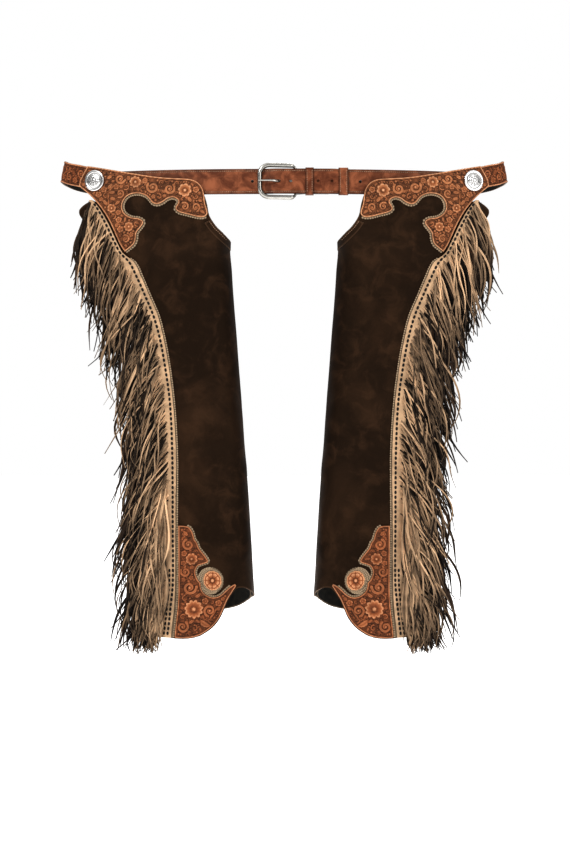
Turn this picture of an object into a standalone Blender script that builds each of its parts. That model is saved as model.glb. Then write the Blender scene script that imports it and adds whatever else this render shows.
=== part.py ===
# Leather chaps, filled out as worn: two fringed leg tubes hung from tooled
# yokes, hip straps and a buckled belt. X runs to the wearer's left, the front
# faces -Y and the origin is the middle of the waist at the belt's height.
import math
import random
from collections import namedtuple

import bmesh
import bpy
from mathutils import Matrix, Vector

# Driving sizes, in metres
WAIST_HALF_WIDTH = 0.443
WAIST_FRONT_DEPTH = 0.108
WAIST_BACK_DEPTH = 0.150
WAIST_ROUNDNESS = 2.3
LEG_ROUNDNESS = 2.6
HANG_START = -0.045
HANG_END = -0.160
SEAM_GAP = 0.0003

CHAP_LEATHER = 0.0022
UNDERLAY_LEATHER = 0.0012
YOKE_LEATHER = 0.0030
STRAP_LEATHER = 0.0032
BELT_LEATHER = 0.0035
FRINGE_LEATHER = 0.0015

# Scalloped underlays peek out by the reach and are tucked in elsewhere
SCALLOP_REACH = 0.0035
CUFF_SCALLOP_REACH = 0.0028
YOKE_TUCK = 0.0040
CUFF_TUCK = 0.0030
SCALLOP_STRIP_TOP = -0.14
SCALLOP_STRIP_WIDTH = 0.0110

BELT_HALF_WIDTH = 0.0240
BELT_CLEARANCE = 0.0013
BELT_END = 0.325
BELT_STATION = 0.028
BELT_STEP_UP = (-0.046, -0.012)
TIP_END = 0.125
TIP_STATIONS = ((-0.008, 0.80), (0.0, 0.35))
TIP_SHOULDER = 0.020
FOLD_START = 0.030
FOLD_END = 0.0860
FOLD_ANGLES = (90, 126, 162, 198, 234, 270)
STRAP_SINK = 0.0020
STRAP_CLEARANCE = 0.0007
HOLE_RADIUS = 0.0025
HOLES_IN_TONGUE = (-0.0610, 0.0130, 0.0652, 0.0918)
HOLE_IN_BUCKLE_SIDE = 0.1468
PRONG_HOLE = -0.0125
PRONG_HOLE_HALF_SIZES = (0.0060, 0.0100, 0.0026)
PRONG_SLOT_SHIFT = 0.0030
PRONG_SLOT_HALF_SIZES = (0.0105, 0.0120, 0.0026)

HEEL_BAR = 0.0240
FRONT_BAR = -0.0470
BUCKLE_HALF_HEIGHT = 0.0308
BUCKLE_CORNER = 0.0068
BAR_RADIUS = 0.0022
PRONG_RADIUS = 0.0014
PRONG_KNEE = 0.0120
PRONG_DIP = -0.0068
PRONG_CREST = (-0.0175, 0.0052)
PRONG_LANDING = -0.0300
KEEPER_LEATHER = 0.0018
KEEPER_NEAR = (0.0412, 0.0567)
KEEPER_TIP = (0.1050, 0.1230)

CONCHO_PLACE = (0.3664, 0.0069)
CONCHO_RADIUS = 0.0205
CONCHO_LIFT = 0.0009
CONCHO_FACETS = 20
CONCHO_PROFILE = (
    (0.0, 0.0), (0.92, 0.0), (1.0, 0.07), (0.93, 0.16), (0.80, 0.13), (0.55, 0.24), (0.0, 0.30),
)
MEDALLION_PLACE = (0.1375, -0.7710)
MEDALLION_TILT = -20.0
MEDALLION_SIZES = (0.0172, 0.0196)
SURROUND_SIZES = (0.0215, 0.0240)
OVAL_POINTS = 18

# The leg is drawn on a net of flat facets: this many round it, and this far
# apart down it. Every layer is read off the same net, so layers never cross.
FACETS_ROUND = 24
ROW_STEP = 0.056
TOP_ROW = 1
BOTTOM_ROW = -17
INNER_SEAM_TURN = -25.0
SEAM_CURVE_RADIUS = 0.060
# The back panel is drawn as two solids that meet along this line
BACK_SPLIT_TURN = 240.0
BACK_SPLIT_ENDS = (-0.132, -0.858)
BACK_CURVE_RADIUS = 0.075
MERGE_IN_PLAN = 0.012
SLOPE_TURN = math.radians(2.0)
SLOPE_DROP = 0.004
LOOP_STEP = 0.01
WAIST_STEP = 0.002

STRANDS_PER_STRIP = 45
ROOT_SHARE_OF_PITCH = 0.20
ROOT_HEIGHT_SLACK = 0.01
ROOT_COLUMN_SLACK = 0.04
FLOOR_OF_FRINGE = -0.915
FLOOR_SPREAD = 0.012
STRAND_HALF_WIDTH = 0.0033
STRAND_STATIONS = (0.12, 0.58, 1.0)
STRAND_TAPER = (1.0, 0.90, 0.45)
STRAND_LENGTHS = (0.86, 1.08)
STRAND_SPREAD = 0.10
STRAND_BOW = 0.30
STRAND_START = 0.004
STRAND_FACING = (0.35, -1.0, 0.0)
FRINGE_SEEDS = (11, 5)

Row = namedtuple("Row", "height inner outer half_depth centre_y")
LEG_ROWS = (
    Row(0.00, 0.1000, 0.440, 0.098, 0.000),
    Row(-0.07, 0.1000, 0.392, 0.094, 0.000),
    Row(-0.12, 0.1070, 0.366, 0.088, 0.000),
    Row(-0.16, 0.1045, 0.350, 0.082, 0.000),
    Row(-0.24, 0.0990, 0.322, 0.078, -0.002),
    Row(-0.34, 0.0910, 0.294, 0.072, -0.004),
    Row(-0.44, 0.0835, 0.277, 0.067, -0.005),
    Row(-0.54, 0.0765, 0.269, 0.064, -0.003),
    Row(-0.64, 0.0690, 0.267, 0.063, 0.001),
    Row(-0.76, 0.0625, 0.268, 0.067, 0.006),
    Row(-0.84, 0.0570, 0.269, 0.070, 0.010),
    Row(-0.95, 0.0545, 0.270, 0.072, 0.012),
)

# Largest folds: soft troughs (negative) and ridges on the leg
Fold = namedtuple("Fold", "turn height half_turn half_height rise")
FOLDS = (
    Fold(52, -0.250, 16, 0.070, -0.0030),
    Fold(84, -0.360, 13, 0.110, 0.0025),
    Fold(112, -0.430, 15, 0.080, -0.0030),
    Fold(66, -0.560, 18, 0.090, -0.0025),
    Fold(96, -0.690, 14, 0.070, 0.0025),
    Fold(250, -0.330, 18, 0.080, -0.0035),
    Fold(285, -0.440, 15, 0.100, 0.0030),
    Fold(222, -0.600, 18, 0.090, -0.0030),
    Fold(300, -0.700, 16, 0.080, -0.0025),
)

# Outlines are (distance from the centre line, height) on the front
YOKE_TOP = (
    (0.3993, -0.0007), (0.3959, 0.0125), (0.3815, 0.0368), (0.3409, 0.0281),
    (0.2862, 0.0168), (0.2383, 0.0087), (0.1997, 0.0057), (0.1790, 0.0038),
    (0.1657, -0.0021), (0.1568, -0.0126), (0.1530, -0.0258), (0.1509, -0.0435),
    (0.1462, -0.0590),
)
YOKE_SCALLOP = (
    (0.1498, -0.0660), (0.1564, -0.0684), (0.1681, -0.0676), (0.1827, -0.0639),
    (0.2005, -0.0593), (0.2078, -0.0533), (0.2072, -0.0475), (0.2028, -0.0401),
    (0.2049, -0.0343), (0.2138, -0.0305), (0.2243, -0.0332), (0.2332, -0.0395),
    (0.2435, -0.0431), (0.2525, -0.0406), (0.2586, -0.0332), (0.2660, -0.0262),
    (0.2795, -0.0214), (0.2945, -0.0225), (0.3052, -0.0288), (0.3111, -0.0389),
    (0.3119, -0.0493), (0.3065, -0.0597), (0.2945, -0.0669), (0.2795, -0.0695),
    (0.2719, -0.0741), (0.2713, -0.0801), (0.2764, -0.0872), (0.2841, -0.0972),
    (0.2856, -0.1090), (0.2902, -0.1189), (0.3012, -0.1273), (0.3073, -0.1313),
)
YOKE_OUTER = (
    (0.3169, -0.1163), (0.3348, -0.0777), (0.3534, -0.0471), (0.3753, -0.0219),
)
PANEL_TOP = (
    (0.3715, -0.0330), (0.3520, -0.0300), (0.3380, -0.0200), (0.3320, 0.0060),
    (0.2850, 0.0080), (0.2000, -0.0020), (0.1720, -0.0060), (0.1590, -0.0160),
)
CROTCH_CURVE = (
    (0.1520, -0.0300), (0.1478, -0.0450), (0.1435, -0.0660), (0.1310, -0.0850),
    (0.1180, -0.0965), (0.1085, -0.1050),
)
CROTCH_STRIP_EDGE = (
    (0.1400, -0.0735), (0.1316, -0.0850), (0.1186, -0.0965), (0.1091, -0.1050),
)
CROTCH_STRIP_INSIDE = (
    (0.1530, -0.0790), (0.1430, -0.0930), (0.1265, -0.1085), (0.1125, -0.1190),
)
FRONT_HEM = (
    (0.0639, -0.7972), (0.0745, -0.7896), (0.0853, -0.7872), (0.0934, -0.7890),
    (0.1017, -0.7985), (0.1104, -0.8125), (0.1180, -0.8300), (0.1248, -0.8450),
    (0.1355, -0.8595), (0.1490, -0.8710), (0.1670, -0.8812), (0.1879, -0.8856),
    (0.2120, -0.8860),
)
CUFF_INNER = (
    (0.2055, -0.6640), (0.1899, -0.6648), (0.1831, -0.6686), (0.1776, -0.6784),
    (0.1743, -0.6907), (0.1694, -0.6975), (0.1661, -0.7071), (0.1599, -0.7153),
    (0.1517, -0.7262), (0.1486, -0.7350), (0.1599, -0.7393), (0.1681, -0.7428),
    (0.1728, -0.7523), (0.1722, -0.7603), (0.1681, -0.7701), (0.1632, -0.7756),
    (0.1621, -0.7851), (0.1572, -0.7947), (0.1463, -0.8024), (0.1340, -0.8038),
    (0.1232, -0.7991), (0.1149, -0.7911), (0.1054, -0.7832), (0.0973, -0.7790),
)
CUFF_HEM = (
    (0.0955, -0.7830), (0.1035, -0.7955), (0.1120, -0.8100), (0.1195, -0.8275),
    (0.1262, -0.8425), (0.1368, -0.8575), (0.1500, -0.8690), (0.1677, -0.8790),
    (0.1880, -0.8836), (0.2100, -0.8838), (0.2130, -0.8815),
)
CUFF_BAND_SPAN = (-0.875, -0.66)
CUFF_BAND_GAP = 0.0008
UNDERLAY_UPPER = [
    (0.3180, -0.1060), (0.3260, -0.0800), (0.3280, -0.0500), (0.3200, -0.0180),
    (0.2900, -0.0080), (0.2500, -0.0120), (0.2000, -0.0140), (0.1720, -0.0160),
]

# Turn round the leg (degrees) and height, along the back panel's free edges
BACK_TOP = (
    (334.5, -0.1165), (320, -0.130), (297, -0.148), (268, -0.152),
    (240, -0.132), (212, -0.098), (186, -0.066), (162, -0.047),
)
BACK_HEM = (
    (168, -0.8805), (192, -0.876), (216, -0.867), (240, -0.858),
    (270, -0.851), (300, -0.841), (320, -0.828), (334.5, -0.8175),
)

# The fringe band: edges of the tan strip, the lacing's line being the seam
Band = namedtuple("Band", "height inner seam root")
BAND_ROWS = (
    Band(-0.030, 0.3708, 0.3735, 0.3790),
    Band(-0.047, 0.3560, 0.3615, 0.3696),
    Band(-0.078, 0.3370, 0.3440, 0.3538),
    Band(-0.116, 0.3188, 0.3250, 0.3345),
    Band(-0.134, 0.3085, 0.3150, 0.3258),
    Band(-0.150, 0.2868, 0.2995, 0.3168),
    Band(-0.180, 0.2722, 0.2845, 0.3005),
    Band(-0.215, 0.2575, 0.2690, 0.2845),
    Band(-0.255, 0.2405, 0.2525, 0.2690),
    Band(-0.300, 0.2292, 0.2400, 0.2575),
    Band(-0.350, 0.2205, 0.2310, 0.2470),
    Band(-0.420, 0.2122, 0.2220, 0.2405),
    Band(-0.520, 0.2063, 0.2170, 0.2350),
    Band(-0.650, 0.2066, 0.2162, 0.2388),
    Band(-0.775, 0.2063, 0.2160, 0.2465),
    Band(-0.820, 0.2077, 0.2200, 0.2510),
    Band(-0.862, 0.2122, 0.2245, 0.2545),
    Band(-0.884, 0.2145, 0.2275, 0.2565),
)

# Fringe lanes: how far out a strand swings for each drop, and how long it is
Lane = namedtuple("Lane", "height swing length")
LANE_ROWS = (
    Lane(-0.030, 0.12, 0.120),
    Lane(-0.080, 0.20, 0.150),
    Lane(-0.130, 0.34, 0.165),
    Lane(-0.200, 0.42, 0.165),
    Lane(-0.300, 0.52, 0.165),
    Lane(-0.450, 0.56, 0.170),
    Lane(-0.600, 0.58, 0.170),
    Lane(-0.720, 0.56, 0.165),
    Lane(-0.884, 0.30, 0.120),
)

# A fringe strip's place on the band and how its strands fall
Layer = namedtuple(
    "Layer", "name inner_share root_share stagger forward sideways more_swing clearance")
DARK_LAYER = Layer("fringe_dark", 0.22, 1.06, 0.5, 0.001, 0.34, 0.06, 0.0035)
TAN_LAYER = Layer("fringe_tan", 0.14, 0.97, 0.0, 0.006, 0.10, 0.0, 0.0100)

# Stations round the waist loop: turn (0 front, 180 back), middle height, lean
Strap = namedtuple("Strap", "turn centre half_width lean")
HIP_STRAP = (
    Strap(51, 0.0070, 0.0215, 0.000),
    Strap(62, 0.0190, 0.0218, 0.002),
    Strap(72, 0.0270, 0.0214, 0.005),
    Strap(82, 0.0350, 0.0208, 0.007),
    Strap(90, 0.0375, 0.0208, 0.008),
    Strap(99, 0.0365, 0.0215, 0.007),
    Strap(110, 0.0335, 0.0230, 0.005),
    Strap(122, 0.0320, 0.0238, 0.003),
    Strap(134, 0.0345, 0.0235, 0.001),
)
BACK_STRAP = (
    Strap(126, 0.0335, 0.0232, 0.002),
    Strap(138, 0.0365, 0.0230, 0.000),
    Strap(150, 0.0420, 0.0230, 0.000),
    Strap(160, 0.0455, 0.0230, 0.000),
    Strap(170, 0.0480, 0.0230, 0.000),
    Strap(180, 0.0485, 0.0230, 0.000),
)
STATIONS_PER_ROW = 2

Finish = namedtuple("Finish", "colour roughness metallic")
DARK_LEATHER = Finish((0.040, 0.022, 0.014), 0.50, 0.0)
TOOLED_LEATHER = Finish((0.330, 0.110, 0.040), 0.45, 0.0)
BELT_TAN = Finish((0.230, 0.080, 0.032), 0.45, 0.0)
SCALLOP_LEATHER = Finish((0.230, 0.150, 0.095), 0.75, 0.0)
FRINGE_TAN = Finish((0.310, 0.170, 0.090), 0.75, 0.0)
FRINGE_DARK = Finish((0.055, 0.030, 0.020), 0.75, 0.0)
NICKEL = Finish((0.620, 0.600, 0.560), 0.28, 1.0)

SIDES = (("r", -1.0), ("l", 1.0))

# Depths out from the leg's or the waist loop's surface
UNDER_LOW = SEAM_GAP
UNDER_HIGH = UNDER_LOW + UNDERLAY_LEATHER
UPPER_LOW = UNDER_HIGH + SEAM_GAP
UPPER_HIGH = UPPER_LOW + YOKE_LEATHER
BELT_REST_OUT = -(CHAP_LEATHER + BELT_CLEARANCE + BELT_LEATHER / 2)
TIP_OUT = BELT_REST_OUT + BELT_LEATHER + SEAM_GAP
FOLD_OUT = BELT_REST_OUT - BELT_LEATHER - SEAM_GAP
BAR_OUT = BELT_REST_OUT - BELT_LEATHER / 2 - SEAM_GAP - BAR_RADIUS


# Curves and tables

def smooth_step(start, end, value):
    share = max(0.0, min(1.0, (value - start) / (end - start)))
    return share * share * (3.0 - 2.0 * share)


def signed_power(value, power):
    return math.copysign(abs(value) ** power, value)


def read_table(rows, height):
    """Read every column of a table at one height, along a smooth curve."""
    height = min(rows[0].height, max(rows[-1].height, height))
    last = len(rows) - 1
    index = 0
    while index < last - 1 and height < rows[index + 1].height:
        index += 1
    lower, upper = rows[index], rows[index + 1]
    span = upper.height - lower.height
    share = (height - lower.height) / span
    before = rows[max(index - 1, 0)]
    after = rows[min(index + 2, last)]
    values = []
    for column in range(1, len(lower)):
        start_slope = (upper[column] - before[column]) / (upper.height - before.height)
        end_slope = (after[column] - lower[column]) / (after.height - lower.height)
        values.append(
            lower[column] * (1 - share) ** 2 * (1 + 2 * share)
            + upper[column] * share ** 2 * (3 - 2 * share)
            + start_slope * span * share * (1 - share) ** 2
            - end_slope * span * share ** 2 * (1 - share))
    return type(lower)(height, *values)


def waist_front_y(across):
    share = min(1.0, abs(across) / WAIST_HALF_WIDTH)
    return -WAIST_FRONT_DEPTH * (1 - share ** WAIST_ROUNDNESS) ** (1 / WAIST_ROUNDNESS)


# The leg's net of facets

def leg_skin(turn, height):
    """Point of the leg's outer surface: turn 0 inside, 90 front, 180 outside."""
    row = read_table(LEG_ROWS, height)
    half = (row.outer - row.inner) / 2
    middle = (row.outer + row.inner) / 2
    across = middle - half * signed_power(math.cos(turn), 2 / LEG_ROUNDNESS)
    bulge = row.half_depth * abs(math.sin(turn)) ** (2 / LEG_ROUNDNESS)
    hang = smooth_step(HANG_START, HANG_END, height)
    if math.sin(turn) >= 0:
        depth = (1 - hang) * waist_front_y(across) + hang * (row.centre_y - bulge)
    else:
        inner_y = (1 - hang) * waist_front_y(row.inner) + hang * row.centre_y
        outer_y = (1 - hang) * waist_front_y(row.outer) + hang * row.centre_y
        share = (across - row.inner) / (row.outer - row.inner)
        depth = inner_y + (outer_y - inner_y) * share + bulge
    return Vector((across, depth, height))


def fold_rise(turn, height):
    rise = 0.0
    for fold in FOLDS:
        away = (math.degrees(turn) - fold.turn + 180) % 360 - 180
        reach = (away / fold.half_turn) ** 2 + ((height - fold.height) / fold.half_height) ** 2
        rise += fold.rise * math.exp(-reach)
    return rise


def leg_normal(turn, height):
    round_leg = leg_skin(turn + SLOPE_TURN, height) - leg_skin(turn - SLOPE_TURN, height)
    up_leg = leg_skin(turn, height + SLOPE_DROP) - leg_skin(turn, height - SLOPE_DROP)
    return round_leg.cross(up_leg).normalized()


def make_net():
    """Corner points and outward directions of the facets."""
    net = {}
    for level in range(BOTTOM_ROW, TOP_ROW + 1):
        for column in range(FACETS_ROUND):
            turn = math.tau * column / FACETS_ROUND
            height = level * ROW_STEP
            outward = leg_normal(turn, height)
            point = leg_skin(turn, height) + outward * fold_rise(turn, height)
            net[column, level] = (point, outward)
    return net


NET = make_net()


def net_point(column, level, out):
    """Point on the net at a place counted in facets, moved out by a distance."""
    left = math.floor(column)
    low = max(BOTTOM_ROW, min(TOP_ROW - 1, math.floor(level)))
    along, up = column - left, level - low
    if along >= up:
        shares = (((0, 0), 1 - along), ((1, 0), along - up), ((1, 1), up))
    else:
        shares = (((0, 0), 1 - up), ((0, 1), up - along), ((1, 1), along))
    total = Vector((0, 0, 0))
    for (step, rise), share in shares:
        point, outward = NET[(left + step) % FACETS_ROUND, low + rise]
        total += (point + outward * out) * share
    return total


def turn_at(across, height):
    """Turn, in radians, at which the front of the leg is this far across."""
    row = read_table(LEG_ROWS, height)
    half = (row.outer - row.inner) / 2
    middle = (row.outer + row.inner) / 2
    share = max(-1.0, min(1.0, (middle - across) / half))
    return math.acos(signed_power(share, LEG_ROUNDNESS / 2))


def in_facets(turn, height):
    return turn / math.tau * FACETS_ROUND, height / ROW_STEP


def plan(outline):
    """Places in facets of an outline given across and up the front."""
    return [in_facets(turn_at(across, height), height) for across, height in outline]


def plan_turns(outline):
    return [in_facets(math.radians(turn), height) for turn, height in outline]


# Making solids

def make_material(name, finish):
    material = bpy.data.materials.new(name)
    material.use_nodes = True
    shader = material.node_tree.nodes["Principled BSDF"]
    shader.inputs["Base Color"].default_value = (*finish.colour, 1.0)
    shader.inputs["Roughness"].default_value = finish.roughness
    shader.inputs["Metallic"].default_value = finish.metallic
    return material


def finish_object(name, form, finish):
    """Turn a bmesh into a named object with its own material."""
    bmesh.ops.recalc_face_normals(form, faces=form.faces)
    if form.calc_volume(signed=True) < 0:
        bmesh.ops.reverse_faces(form, faces=form.faces)
    mesh = bpy.data.meshes.new(name)
    form.to_mesh(mesh)
    form.free()
    mesh.materials.append(make_material(name, finish))
    piece = bpy.data.objects.new(name, mesh)
    bpy.context.scene.collection.objects.link(piece)
    return piece


def cut_along(form, place, direction):
    geometry = form.verts[:] + form.edges[:] + form.faces[:]
    bmesh.ops.bisect_plane(form, geom=geometry, dist=1e-5, plane_co=place, plane_no=direction)


def flat_plan(outline):
    """Outline as a flat mesh, cut along every line of the net."""
    form = bmesh.new()
    corners = [form.verts.new((column, level, 0.0)) for column, level in outline]
    form.faces.new(corners)
    columns = [column for column, level in outline]
    levels = [level for column, level in outline]
    for line in range(math.floor(min(columns)), math.ceil(max(columns)) + 1):
        cut_along(form, (line, 0, 0), (1, 0, 0))
    for line in range(math.floor(min(levels)), math.ceil(max(levels)) + 1):
        cut_along(form, (0, line, 0), (0, 1, 0))
    lowest = math.floor(min(columns) - max(levels))
    highest = math.ceil(max(columns) - min(levels))
    for line in range(lowest, highest + 1):
        cut_along(form, (line, 0, 0), (1, -1, 0))
    bmesh.ops.remove_doubles(form, verts=form.verts[:], dist=MERGE_IN_PLAN)
    bmesh.ops.triangulate(form, faces=form.faces[:])
    return form


def plate_form(outline, low, high, side):
    """Leather cut to an outline and laid on the leg between two depths."""
    form = flat_plan(outline)
    raised = bmesh.ops.extrude_face_region(form, geom=form.faces[:])
    top = {item for item in raised["geom"] if isinstance(item, bmesh.types.BMVert)}
    for vert in form.verts:
        point = net_point(vert.co.x, vert.co.y, high if vert in top else low)
        vert.co = (point.x * side, point.y, point.z)
    return form


def plate(name, outline, low, high, side, finish):
    return finish_object(name, plate_form(outline, low, high, side), finish)


def loft(rings):
    """Solid bar through rings of four corners, closed at both ends."""
    form = bmesh.new()
    face = form.faces.new([form.verts.new(corner) for corner in rings[0]])
    for ring in rings[1:]:
        face = bmesh.ops.extrude_discrete_faces(form, faces=[face])["faces"][0]
        for vert, corner in zip(face.verts, ring):
            vert.co = corner
    open_edges = [edge for edge in form.edges if edge.is_boundary]
    bmesh.ops.holes_fill(form, edges=open_edges, sides=4)
    return form


def tube(name, points, radius, finish, cyclic=False, bevel_resolution=1):
    """Round bar along a run of points."""
    curve = bpy.data.curves.new(name, "CURVE")
    curve.dimensions = "3D"
    curve.bevel_depth = radius
    curve.bevel_resolution = bevel_resolution
    curve.use_fill_caps = not cyclic
    spline = curve.splines.new("POLY")
    spline.points.add(len(points) - 1)
    for spot, point in zip(spline.points, points):
        spot.co = (*point, 1.0)
    spline.use_cyclic_u = cyclic
    curve.materials.append(make_material(name, finish))
    piece = bpy.data.objects.new(name, curve)
    bpy.context.scene.collection.objects.link(piece)
    return piece


def cut_hole(piece, cutter):
    cutter.hide_render = True
    cutter.display_type = "WIRE"
    modifier = piece.modifiers.new("hole", "BOOLEAN")
    modifier.operation = "DIFFERENCE"
    modifier.solver = "EXACT"
    modifier.object = cutter


# Places on the waist loop

def front_of_waist(across, out, height):
    """Point on the front of the waist: across is signed, out is outward."""
    rise = waist_front_y(across + WAIST_STEP) - waist_front_y(across - WAIST_STEP)
    slope = rise / (2 * WAIST_STEP)
    outward = Vector((slope, -1.0, 0.0)).normalized()
    on_loop = Vector((across, waist_front_y(across), height))
    return on_loop + outward * out


def loop_point(turn, out, height):
    """Point on the waist loop; turn 0 is the front, 180 degrees the back."""
    depth = WAIST_FRONT_DEPTH if math.cos(turn) > 0 else WAIST_BACK_DEPTH

    def spot(angle):
        return Vector((
            WAIST_HALF_WIDTH * signed_power(math.sin(angle), 2 / WAIST_ROUNDNESS),
            -depth * signed_power(math.cos(angle), 2 / WAIST_ROUNDNESS), 0))

    along = (spot(turn + LOOP_STEP) - spot(turn - LOOP_STEP)).normalized()
    outward = Vector((along.y, -along.x, 0))
    return spot(turn) + outward * out + Vector((0, 0, height))


# Legs

def backwards(places):
    return list(reversed(places))


def seam_line(shift):
    """The outer seam from hem to top, in facets, moved round by degrees."""
    places = []
    for row in reversed(BAND_ROWS):
        turn = turn_at(row.seam, row.height) + math.radians(shift)
        places.append(in_facets(turn, row.height))
    return places


def make_leg(tag, side):
    seam_shift = math.degrees(SEAM_GAP / 2 / SEAM_CURVE_RADIUS)
    inner_turn = INNER_SEAM_TURN + seam_shift
    crotch_end = ((inner_turn, -0.1165), (-12, -0.111), (0, -0.108))
    hem_end = ((0, -0.8085), (inner_turn, -0.8175))
    front = (
        plan_turns(crotch_end) + backwards(plan(CROTCH_CURVE)) + backwards(plan(PANEL_TOP))
        + backwards(seam_line(-seam_shift)) + backwards(plan(FRONT_HEM)) + plan_turns(hem_end))
    plate("leg_front_" + tag, front, -CHAP_LEATHER, 0, side, DARK_LEATHER)
    split_shift = math.degrees(SEAM_GAP / 2 / BACK_CURVE_RADIUS)
    top_outer = plan_turns([spot for spot in BACK_TOP if spot[0] < BACK_SPLIT_TURN])
    top_inner = plan_turns([spot for spot in BACK_TOP if spot[0] > BACK_SPLIT_TURN])
    hem_outer = plan_turns([spot for spot in BACK_HEM if spot[0] < BACK_SPLIT_TURN])
    hem_inner = plan_turns([spot for spot in BACK_HEM if spot[0] > BACK_SPLIT_TURN])
    top_height, hem_height = BACK_SPLIT_ENDS

    def split_end(shift, height):
        return plan_turns(((BACK_SPLIT_TURN + shift, height),))

    outer = split_end(-split_shift, top_height) + top_outer + backwards(seam_line(seam_shift))
    outer += hem_outer + split_end(-split_shift, hem_height)
    inner = top_inner + split_end(split_shift, top_height)
    inner += split_end(split_shift, hem_height) + hem_inner
    plate("leg_back_outer_" + tag, outer, -CHAP_LEATHER, 0, side, DARK_LEATHER)
    plate("leg_back_inner_" + tag, inner, -CHAP_LEATHER, 0, side, DARK_LEATHER)


def offset_outline(outline, distances):
    """Move each point of a closed outline outwards by its own distance."""
    area = 0.0
    for (x0, y0), (x1, y1) in zip(outline, outline[1:] + outline[:1]):
        area += x0 * y1 - x1 * y0
    facing = math.copysign(1.0, area)
    moved = []
    count = len(outline)
    for index, (across, height) in enumerate(outline):
        before = outline[index - 1]
        after = outline[(index + 1) % count]
        along = Vector((after[0] - before[0], after[1] - before[1])).normalized()
        reach = distances[index] * facing
        moved.append((across + along.y * reach, height - along.x * reach))
    return moved


def make_yoke(tag, side):
    outline = list(YOKE_TOP + YOKE_SCALLOP + YOKE_OUTER)
    reach = [SCALLOP_REACH] * (len(YOKE_SCALLOP) - 1) + [0.0]
    reach = [-YOKE_TUCK] * len(YOKE_TOP) + reach + [-YOKE_TUCK] * len(YOKE_OUTER)
    shown = slice(len(YOKE_TOP) - 2, len(YOKE_TOP) + len(YOKE_SCALLOP))
    underlay = offset_outline(outline, reach)[shown] + UNDERLAY_UPPER
    plate("yoke_underlay_" + tag, plan(underlay), UNDER_LOW, UNDER_HIGH, side, SCALLOP_LEATHER)
    plate("yoke_" + tag, plan(outline), UPPER_LOW, UPPER_HIGH, side, TOOLED_LEATHER)


def make_crotch_strip(tag, side):
    """Facing strip that binds the front panel's curved inner edge."""
    outline = plan(CROTCH_STRIP_EDGE) + plan_turns(((2, -0.1095), (2, -0.1230)))
    outline += backwards(plan(CROTCH_STRIP_INSIDE))
    plate("crotch_strip_" + tag, outline, UNDER_LOW, UNDER_HIGH, side, DARK_LEATHER)


def make_cuff(tag, side):
    lowest, highest = CUFF_BAND_SPAN
    outer = []
    for row in reversed(BAND_ROWS):
        if lowest < row.height < highest:
            outer.append((row.inner - CUFF_BAND_GAP, row.height))
    outline = list(CUFF_INNER + CUFF_HEM) + outer
    hidden = len(outline) - len(CUFF_INNER)
    reach = [-CUFF_TUCK] + [CUFF_SCALLOP_REACH] * (len(CUFF_INNER) - 1) + [-CUFF_TUCK] * hidden
    underlay = offset_outline(outline, reach)
    plate("cuff_underlay_" + tag, plan(underlay), UNDER_LOW, UNDER_HIGH, side, SCALLOP_LEATHER)
    plate("cuff_" + tag, plan(outline), UPPER_LOW, UPPER_HIGH, side, TOOLED_LEATHER)


def medallion_oval(half_width, half_height):
    tilt = math.radians(MEDALLION_TILT)
    spots = []
    for index in range(OVAL_POINTS):
        angle = math.tau * index / OVAL_POINTS
        across = half_width * math.cos(angle)
        up = half_height * math.sin(angle)
        spots.append((
            MEDALLION_PLACE[0] + across * math.cos(tilt) - up * math.sin(tilt),
            MEDALLION_PLACE[1] + across * math.sin(tilt) + up * math.cos(tilt)))
    return plan(spots)


def make_medallion(tag, side):
    surround = medallion_oval(*SURROUND_SIZES)
    plate("medallion_underlay_" + tag, surround, UNDER_LOW, UNDER_HIGH, side, SCALLOP_LEATHER)
    disc = medallion_oval(*MEDALLION_SIZES)
    plate("medallion_" + tag, disc, UPPER_LOW, UPPER_HIGH, side, TOOLED_LEATHER)


# Fringe

def band_place(height, share):
    """Place in facets on the tan band: share 0 is its inner edge, 1 its root edge."""
    row = read_table(BAND_ROWS, height)
    return in_facets(turn_at(row.inner + (row.root - row.inner) * share, height), height)


def make_scallop_strip(tag, side):
    inner = []
    outer = []
    for row in BAND_ROWS:
        if row.height < SCALLOP_STRIP_TOP:
            inner.append((row.inner, row.height))
            outer.append((row.inner + SCALLOP_STRIP_WIDTH, row.height))
    outline = plan(inner) + backwards(plan(outer))
    plate("band_scallop_" + tag, outline, UNDER_LOW, UNDER_HIGH, side, SCALLOP_LEATHER)


def strand_centres(root, height, layer, thickness, rng):
    """Middle points down one strand, clear of the leg's surface."""
    lane = read_table(LANE_ROWS, height)
    length = lane.length * rng.uniform(*STRAND_LENGTHS)
    length = min(length, root.z - FLOOR_OF_FRINGE - rng.uniform(0.0, FLOOR_SPREAD))
    swing = lane.swing + layer.more_swing
    sideways = layer.sideways + rng.uniform(-STRAND_SPREAD, STRAND_SPREAD)
    centres = []
    for share in STRAND_STATIONS:
        out = swing * length * (share * (1 + STRAND_BOW) - STRAND_BOW * share * share)
        across = root.x + STRAND_START + out
        depth = root.y - layer.forward + sideways * out
        height_here = root.z - length * share
        row = read_table(LEG_ROWS, height_here)
        if across < row.outer + STRAND_START:
            turn = turn_at(min(across, row.outer - STRAND_START / 2), height_here)
            skin = leg_skin(turn, height_here).y
            depth = min(depth, skin - layer.clearance - thickness)
        centres.append(Vector((across, depth, height_here)))
    return centres


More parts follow.
